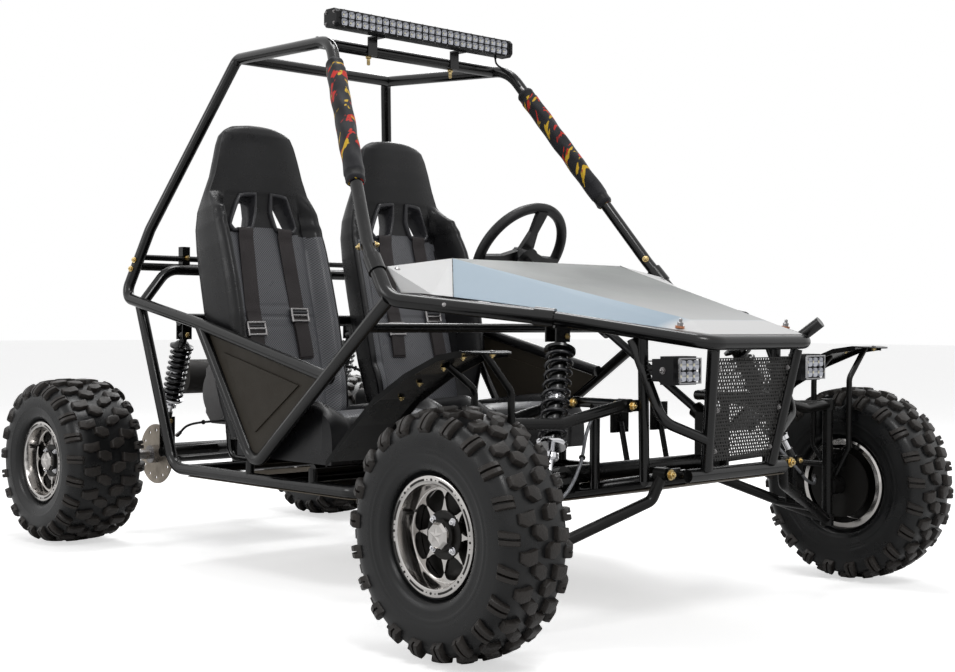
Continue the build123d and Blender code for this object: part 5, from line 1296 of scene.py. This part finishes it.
def build_hood_fasteners():
    """Bolts with copper washers, cheek bolts and the seam lines of the hood."""
    form = Form()
    for _, side in SIDES:
        rear, front = mirrored(BAND_REAR, side), mirrored(BAND_FRONT, side)
        crease_rear, crease_front = mirrored(CREASE_REAR, side), mirrored(CREASE_FRONT, side)
        normal = (front - rear).cross(crease_rear - rear).normalized()
        if normal.x * side < 0:
            normal = -normal
        place = mix(mix(rear, front, 0.905), mix(crease_rear, crease_front, 0.905), 0.14) + normal * 0.002
        upright = Vector((0, -0.15, 1))
        form.add(*turned([(-0.002, 0.0098), (0.0022, 0.0098)], place, upright, 24), 1)
        form.add(*turned([(0.0022, 0.0070), (0.0092, 0.0070), (0.0100, 0.006)], place, upright, 6), 0)
        form.add(*turned([(0.0095, 0.0036), (0.0165, 0.0034), (0.0175, 0.002)], place, upright, 12), 0)
        seam = [mix(crease_rear, mirrored(CHEEK_SEAM, side), i / 6) + normal * 0.0006 for i in range(7)]
        form.add(*swept(seam, 0.0010, 6), 2)
        top, foot = mirrored(DASH_TOP, side), mirrored(DASH_FOOT, side)
        cheek = (foot - top).cross(crease_rear - top).normalized()
        if cheek.y * 1.0 > 0 and cheek.x * side < 0:
            cheek = -cheek
        if cheek.x * side < 0:
            cheek = -cheek
        place = mix(mix(top, foot, 0.25), crease_rear, 0.10) + cheek * 0.003
        form.add(*turned([(0, 0.0080), (0.0018, 0.0076)], place, cheek, 24), 2)
        form.add(*turned([(0.0018, 0.0056), (0.0042, 0.0050), (0.0050, 0.0030)], place, cheek, 16), 0)
        rail = mix(mirrored(HOOD_REAR, side), mirrored(mm(330, -851, 650), side), 0.36)
        out = Vector((side, -0.5, 0.15)).normalized()
        form.add(*turned([(0.0145, 0.0052), (0.0172, 0.0046), (0.0180, 0.003)], rail, out, 16), 0)
    piece = form.piece("hood_fasteners", "chassis", [made("steel"), made("copper"), made("bezel")], 40)


def wheel_frame():
    """Steering wheel centre, its axis up towards the driver, and the two directions in its plane."""
    axis = Vector((0, math.cos(COLUMN_ANGLE), math.sin(COLUMN_ANGLE)))
    across = Vector((1, 0, 0))
    return WHEEL_CENTRE, axis, across, axis.cross(across)


def build_steering_trim():
    """A stitched seam on the rim, screws on the hub and a squared hub cover."""
    centre, axis, across, up = wheel_frame()
    form = Form()
    for i in range(150):
        a = 2 * math.pi * i / 150
        place = centre + (across * math.cos(a) + up * math.sin(a)) * 0.1293
        along = (-across * math.sin(a) + up * math.cos(a)) * 0.0018
        form.add(*swept([place - along + axis * 0.0012, place - axis * 0.0012 + along], 0.0007, 5), 1)
    cover = []
    for half, depth in ((0.030, -0.006), (0.031, 0.002), (0.027, 0.009), (0.020, 0.0105)):
        ring = []
        for k in range(32):
            a = 2 * math.pi * k / 32
            c, s = math.cos(a), math.sin(a)
            reach = half / max(abs(c), abs(s)) ** 0.75
            ring.append(centre - axis * 0.006 + across * c * reach * 1.1 + up * s * reach * 0.8 + axis * depth)
        cover.append(ring)
    form.add(*skin(cover), 0)
    for i in range(6):
        a = math.pi / 6 + math.pi * i / 3
        bolt(form, centre + (across * math.cos(a) * 0.030 + up * math.sin(a) * 0.021) + axis * 0.003, axis, 0.0026, (2, 2))
    piece = form.piece("steering_wheel_trim", "steering", [made("bezel"), made("stitch"), made("steel")], 40)


# columns: place, direction, size in metres; each is set on both sides
CHASSIS_BOLTS = (
    (mm(254, -1001, 470), Vector((0, -1, 0)), 0.0085),
    (mm(254, -959, 470), Vector((0, 1, 0)), 0.0085),
    (mm(254, -833, 470), Vector((0, -1, 0)), 0.0085),
    (mm(254, -791, 470), Vector((0, 1, 0)), 0.0085),
    (mm(213, -1069, 330), Vector((0, -1, 0)), 0.0090),
    (mm(252, -779, 284), Vector((0, 1, 0)), 0.0090),
)


def build_fasteners():
    """Yellow zinc bolts at the arm pivots, the frame joints and the harness bars."""
    form = Form()
    for _, side in SIDES:
        for place, direction, size in CHASSIS_BOLTS:
            bolt(form, mirrored(place, side), direction, size, (0, 0))
        joint = mirrored(PILLAR_JOINT, side)
        along = (mirrored(ROOF_FRONT, side) - joint).normalized()
        out = Vector((-side * 0.72, -0.69, 0))
        out = (out - along * out.dot(along)).normalized()
        for hand in (-1, 1):
            bolt(form, joint + along * 0.004 + out * hand * 0.0175, out * hand, 0.0068, (0, 0))
        stay = mirrored(mix(mm(428, 592, 890), mm(470, 652, 705), 0.52), side)
        down = (mirrored(mm(470, 652, 705), side) - mirrored(mm(428, 592, 890), side)).normalized()
        out = Vector((side, -0.3, 0))
        out = (out - down * out.dot(down)).normalized()
        for step in (-0.012, 0.014):
            bolt(form, stay + down * step + out * 0.0180, out, 0.0062, (0, 0))
        bolt(form, mm(side * 300, 606, 818), Vector((0, -1, 0)), 0.006, (0, 0))
    piece = form.piece("frame_bolts", "chassis", [made("zinc")], 40)
    for name, side in SIDES:
        form = Form()
        for y in (-1005.0, -925.0, -870.0, -800.0, -745.0):
            z = stepped(((-1032.0, 584.0), (-980.0, 587.0), (-925.0, 579.0), (-829.0, 541.0), (-735.0, 489.0), (-670.0, 434.0)), y)[0]
            bolt(form, mm(side * 662, y, z - 4), Vector((0, 0.12, -1)), 0.0055, (0, 0))
            form.add(*turned([(0, 0.006), (0.0016, 0.0052), (0.0024, 0.003)], mm(side * 662, y, z), Vector((0, -0.12, 1)), 14), 1)
        piece = form.piece("fender_bolts_" + name, "knuckle_" + name, [made("zinc"), made("bezel")], 40)


def hose(name, points, radius, finish_name, ties=(), body="chassis"):
    form = Form()
    line = rounded_line(points, 10)
    form.add(*swept(line, radius, 10), 0)
    for index in ties:
        place = line[index]
        axis = (line[index + 1] - line[index - 1]).normalized()
        form.add(*turned([(-0.002, radius * 1.9), (0.002, radius * 1.9)], place, axis, 16), 1)
    for end, along in ((line[0], line[0] - line[1]), (line[-1], line[-1] - line[-2])):
        form.add(*turned([(-0.012, radius * 1.5), (0.0, radius * 1.7), (0.010, radius * 1.7), (0.012, radius)], end, along, 6), 2)
    piece = form.piece(name, body, [made(finish_name), made("tie"), made("steel")], 40)
    return piece


def build_hoses():
    """Brake hoses clipped to the arms, and the lines of the engine."""
    for name, side in SIDES:
        points = [mirrored(p, side) for p in (
            mm(262, -905, 455), mm(300, -915, 410), mm(345, -940, 352), mm(400, -955, 300), mm(460, -948, 262),
            mm(510, -935, 250), mm(541, -915, 262))]
        hose("brake_hose_" + name, points, 0.0036, "hose", (18, 34))
    hose("rear_brake_hose", [mm(-60, 470, 330), mm(-90, 560, 352), mm(-140, 700, 345), mm(-165, 800, 330), mm(-172, 850, 300)],
         0.0036, "tank", (12, 24))
    hose("lamp_lead", [mm(270, -50, 1380), mm(262, -66, 1352), mm(280, -84, 1334), mm(304, -90, 1318), mm(311, -98, 1302),
                       mm(321, -112, 1282)], 0.0026, "tie")
    hose("fuel_hose", [mm(250, 430, 452), mm(225, 500, 500), mm(160, 570, 510), mm(110, 620, 500)], 0.0042, "tank", (10, 20))


def build_drive():
    """A roller chain from the engine to the rear sprocket, and fins on the engine."""
    form = Form()
    big = (mm(178.5, 940, 235.96), 0.086)
    small = (mm(178.5, 640, 372), 0.030)
    axis = (small[0] - big[0])
    length = axis.length
    angle = math.atan2(axis.z, axis.y)
    spread = math.asin((big[1] - small[1]) / length)
    path = []
    for i in range(33):
        a = angle + math.pi / 2 - spread + (2 * math.pi - math.pi + 2 * spread) * i / 32
        path.append(big[0] + Vector((0, math.cos(a), math.sin(a))) * big[1])
    for i in range(17):
        a = angle - math.pi / 2 + spread + (math.pi - 2 * spread) * i / 16
        path.append(small[0] + Vector((0, math.cos(a), math.sin(a))) * small[1])
    loop = []
    total = sum((path[i] - path[i - 1]).length for i in range(len(path)))
    links = int(total / 0.0127) // 2 * 2
    step = total / links
    left = 0.0
    for i in range(len(path)):
        a, b = path[i - 1], path[i]
        piece = (b - a).length
        while left < piece:
            loop.append(mix(a, b, left / piece))
            left += step
        left -= piece
    for i, place in enumerate(loop):
        ahead = loop[(i + 1) % len(loop)]
        form.add(*turned([(-0.0045, 0.0042), (0.0045, 0.0042)], place, Vector((1, 0, 0)), 10), 0)
        offset = 0.0052 if i % 2 else 0.0042
        along = (ahead - place)
        up = along.cross(Vector((1, 0, 0))).normalized()
        for sx in (-1, 1):
            outline = []
            for t, w in ((-0.25, 0.6), (0.0, 1.0), (0.5, 0.62), (1.0, 1.0), (1.25, 0.6)):
                outline.append(place + along * t + up * 0.0052 * w)
            for t, w in ((1.25, 0.6), (1.0, 1.0), (0.5, 0.62), (0.0, 1.0), (-0.25, 0.6)):
                outline.append(place + along * t - up * 0.0052 * w)
            shift = Vector((sx * offset, 0, 0))
            form.add(*skin([[p + shift for p in outline], [p + shift * 1.3 for p in outline]]), 0)
    piece = form.piece("chain", "chassis", [made("chain")], 40)
    form = Form()
    for i in range(9):
        z = 395 + i * 17.0
        y = 640 + i * 3.0
        ring = [mm(sx * 62, y + sy * 68, z) for sx, sy in ((-1, -0.8), (-0.8, -1), (0.8, -1), (1, -0.8), (1, 0.8), (0.8, 1), (-0.8, 1), (-1, 0.8))]
        form.add(*skin([ring, [p + mm(0, 0, 3.2) for p in ring]]), 0)
    piece = form.piece("engine_fins", "chassis", [made("engine")], 40)


def print_material():
    """Foam sleeve cloth with loose red and yellow strokes."""
    colours = bpy.context.scene.kart_colours
    material = finish("pad_print", (0.013, 0.013, 0.016), 0.62, sheen=0.15, grain=0.45, grain_scale=380, depth=0.3)
    nodes, link = material.node_tree.nodes, material.node_tree.links.new
    shader = nodes["Principled BSDF"]
    source = shader.inputs["Base Color"].links[0].from_socket
    for colour, seed, low, high, scale in ((colours.streak_red, (3.1, 0.2, 0.5), 0.60, 0.625, 34.0),
                                           (colours.streak_yellow, (0.4, 5.2, 1.5), 0.605, 0.63, 30.0)):
        place = nodes.new("ShaderNodeTexCoord")
        turn = nodes.new("ShaderNodeMapping")
        turn.inputs["Location"].default_value = seed
        turn.inputs["Rotation"].default_value = (0.9, 0.35, 0.3)
        turn.inputs["Scale"].default_value = (1.0, 2.6, 0.45)
        link(place.outputs["Object"], turn.inputs["Vector"])
        cloud = nodes.new("ShaderNodeTexNoise")
        cloud.inputs["Scale"].default_value = scale
        cloud.inputs["Detail"].default_value = 2.0
        link(turn.outputs["Vector"], cloud.inputs["Vector"])
        edge = nodes.new("ShaderNodeMapRange")
        edge.inputs["From Min"].default_value = low
        edge.inputs["From Max"].default_value = high
        link(cloud.outputs["Fac"], edge.inputs["Value"])
        blend = nodes.new("ShaderNodeMix")
        blend.data_type = "RGBA"
        link(edge.outputs["Result"], blend.inputs["Factor"])
        link(source, blend.inputs["A"])
        blend.inputs["B"].default_value = (*colour, 1)
        source = blend.outputs["Result"]
    link(source, shader.inputs["Base Color"])
    return material


# Stage

CAMERA = {"place": (-2.58921, -2.98485, 0.64033), "yaw": 43.84, "pitch": 0.54, "roll": 0.32, "lens": 55.72,
          "shift": (-0.0054, 0.0004)}


def build_stage():
    """Floor, soft studio lamps, white surroundings and the camera."""
    scene = bpy.context.scene
    floor_mesh = bpy.data.meshes.new("floor")
    floor_mesh.from_pydata([(-40, -40, 0), (40, -40, 0), (40, 40, 0), (-40, 40, 0)], [], [(0, 1, 2, 3)])
    floor = bpy.data.objects.new("floor", floor_mesh)
    scene.collection.objects.link(floor)
    pale = bpy.data.materials.new("floor")
    pale.use_nodes = True
    shader = pale.node_tree.nodes["Principled BSDF"]
    shader.inputs["Base Color"].default_value = (0.93, 0.93, 0.93, 1)
    shader.inputs["Roughness"].default_value = 0.9
    shader.inputs["Specular IOR Level"].default_value = 0.1
    lift = pale.node_tree.nodes.new("ShaderNodeLightPath")
    pale.node_tree.links.new(lift.outputs["Is Camera Ray"], shader.inputs["Emission Strength"])
    shader.inputs["Emission Color"].default_value = (0.60, 0.60, 0.60, 1)
    floor_mesh.materials.append(pale)
    lamps = (("key", (-1.6, -3.6, 4.4), 1.4, 70.0), ("fill", (-4.5, 1.8, 2.6), 1.6, 30.0),
             ("top", (0.6, 0.4, 4.6), 1.8, 85.0), ("back", (3.4, 3.0, 3.4), 1.6, 40.0))
    for name, place, size, power in lamps:
        data = bpy.data.lights.new(name, "AREA")
        data.size = size
        data.energy = power
        lamp = bpy.data.objects.new(name, data)
        lamp.location = place
        aim = Vector((0, 0, 0.6)) - Vector(place)
        lamp.rotation_euler = aim.to_track_quat("-Z", "Y").to_euler()
        scene.collection.objects.link(lamp)
    world = bpy.data.worlds.new("surroundings")
    scene.world = world
    world.use_nodes = True
    nodes, link = world.node_tree.nodes, world.node_tree.links.new
    back = nodes["Background"]
    back.inputs["Color"].default_value = (1, 1, 1, 1)
    path = nodes.new("ShaderNodeLightPath")
    total = path.outputs["Is Camera Ray"]
    for name in ("Is Glossy Ray", "Is Transmission Ray"):
        both = nodes.new("ShaderNodeMath")
        both.operation = "MAXIMUM"
        link(total, both.inputs[0])
        link(path.outputs[name], both.inputs[1])
        total = both.outputs[0]
    level = nodes.new("ShaderNodeMapRange")
    level.inputs["To Min"].default_value = 0.30
    level.inputs["To Max"].default_value = 1.0
    link(total, level.inputs["Value"])
    link(level.outputs["Result"], back.inputs["Strength"])
    yaw, pitch, roll = (math.radians(CAMERA[k]) for k in ("yaw", "pitch", "roll"))
    right = Vector((math.cos(yaw), -math.sin(yaw), 0))
    ahead = Vector((math.sin(yaw) * math.cos(pitch), math.cos(yaw) * math.cos(pitch), -math.sin(pitch)))
    up = right.cross(ahead)
    level_right = right * math.cos(roll) + up * math.sin(roll)
    level_up = -right * math.sin(roll) + up * math.cos(roll)
    data = bpy.data.cameras.new("camera")
    data.lens = CAMERA["lens"]
    data.shift_x, data.shift_y = CAMERA["shift"]
    data.clip_end = 100
    camera = bpy.data.objects.new("camera", data)
    scene.collection.objects.link(camera)
    view = Matrix((level_right, level_up, -ahead)).transposed().to_4x4()
    view.translation = Vector(CAMERA["place"])
    camera.matrix_world = view
    scene.camera = camera
    scene.view_settings.view_transform = "Standard"


# Operators

class KART_OT_finishes(bpy.types.Operator):
    """Give every CAD node its finish"""
    bl_idname = "kart.finishes"
    bl_label = "Finishes"

    def execute(self, context):
        for part in frame["record"]["subparts"]:
            node = frame["nodes"][part["node"]]
            node.data.materials.clear()
            node.data.materials.append(made(NODE_FINISH[part["material_slot"]]))
            node.data.set_sharp_from_angle(angle=math.radians(32))
        return {"FINISHED"}


class KART_OT_tyres(bpy.types.Operator):
    """Build the four tyres with their tread"""
    bl_idname = "kart.tyres"
    bl_label = "Tyres"

    def execute(self, context):
        for wheel in WHEELS:
            build_tyre(wheel, context.scene.kart_sizes)
        return {"FINISHED"}


class KART_OT_wheel_trim(bpy.types.Operator):
    """Build the wheels with their windows, lip slots, nuts and caps"""
    bl_idname = "kart.wheel_trim"
    bl_label = "Wheel trim"

    def execute(self, context):
        for wheel in WHEELS:
            build_rim(wheel)
        return {"FINISHED"}


class KART_OT_seats(bpy.types.Operator):
    """Build the upholstered backs and cushions"""
    bl_idname = "kart.seats"
    bl_label = "Seats"

    def execute(self, context):
        for name, side in SIDES:
            build_back(side, "seat_back_" + name, context.scene.kart_sizes)
            build_bezels(side)
            build_cushion(side, "seat_cushion_" + name)
        return {"FINISHED"}


class KART_OT_harness(bpy.types.Operator):
    """Build the shoulder straps and buckles"""
    bl_idname = "kart.harness"
    bl_label = "Harness"

    def execute(self, context):
        for name, side in SIDES:
            build_harness(side, "harness_" + name, context.scene.kart_sizes)
        return {"FINISHED"}


class KART_OT_pads(bpy.types.Operator):
    """Build the foam sleeves of the roof pillars"""
    bl_idname = "kart.pads"
    bl_label = "Roof pads"

    def execute(self, context):
        build_pads()
        return {"FINISHED"}


class KART_OT_springs(bpy.types.Operator):
    """Build the coil-over shocks"""
    bl_idname = "kart.springs"
    bl_label = "Springs"

    def execute(self, context):
        build_springs(context.scene.kart_sizes)
        return {"FINISHED"}


class KART_OT_lamps(bpy.types.Operator):
    """Build the reflectors of the light bar and the pods"""
    bl_idname = "kart.lamps"
    bl_label = "Lamps"

    def execute(self, context):
        build_light_bar(context.scene.kart_sizes)
        return {"FINISHED"}


class KART_OT_grille(bpy.types.Operator):
    """Build the perforated grille"""
    bl_idname = "kart.grille"
    bl_label = "Grille"

    def execute(self, context):
        build_grille(context.scene.kart_sizes)
        return {"FINISHED"}


class KART_OT_fasteners(bpy.types.Operator):
    """Build the bolts of the hood, frame and fenders"""
    bl_idname = "kart.fasteners"
    bl_label = "Fasteners"

    def execute(self, context):
        build_hood_fasteners()
        build_fasteners()
        return {"FINISHED"}


class KART_OT_steering_trim(bpy.types.Operator):
    """Build the trim of the steering wheel"""
    bl_idname = "kart.steering_trim"
    bl_label = "Steering wheel trim"

    def execute(self, context):
        build_steering_trim()
        return {"FINISHED"}


class KART_OT_hoses(bpy.types.Operator):
    """Build the hoses"""
    bl_idname = "kart.hoses"
    bl_label = "Hoses"

    def execute(self, context):
        build_hoses()
        return {"FINISHED"}


class KART_OT_drive(bpy.types.Operator):
    """Build the chain and the engine's fins"""
    bl_idname = "kart.drive"
    bl_label = "Drive"

    def execute(self, context):
        build_drive()
        return {"FINISHED"}


class KART_OT_stage(bpy.types.Operator):
    """Set up the floor, lamps and camera"""
    bl_idname = "kart.stage"
    bl_label = "Stage"

    def execute(self, context):
        build_stage()
        return {"FINISHED"}


STEPS = (KART_OT_finishes, KART_OT_tyres, KART_OT_wheel_trim, KART_OT_seats, KART_OT_harness, KART_OT_pads,
         KART_OT_springs, KART_OT_lamps, KART_OT_grille, KART_OT_fasteners, KART_OT_steering_trim, KART_OT_hoses,
         KART_OT_drive, KART_OT_stage)


class KART_PT_panel(bpy.types.Panel):
    """Lists the kart's steps, sizes and colours"""
    bl_idname = "KART_PT_panel"
    bl_label = "Kart"
    bl_space_type = "VIEW_3D"
    bl_region_type = "UI"
    bl_category = "Kart"

    def draw(self, context):
        for step in STEPS:
            self.layout.operator(step.bl_idname)
        for group in (context.scene.kart_sizes, context.scene.kart_colours):
            box = self.layout.box()
            for name in group.__annotations__:
                box.prop(group, name)


CLASSES = (KartSizes, KartColours) + STEPS + (KART_PT_panel,)


def register():
    for kind in CLASSES:
        bpy.utils.register_class(kind)
    bpy.types.Scene.kart_sizes = PointerProperty(type=KartSizes)
    bpy.types.Scene.kart_colours = PointerProperty(type=KartColours)


def unregister():
    del bpy.types.Scene.kart_colours
    del bpy.types.Scene.kart_sizes
    for kind in reversed(CLASSES):
        bpy.utils.unregister_class(kind)


def main():
    register()
    for step in STEPS:
        group, name = step.bl_idname.split(".")
        getattr(getattr(bpy.ops, group), name)()


if __name__ == "__main__":
    main()
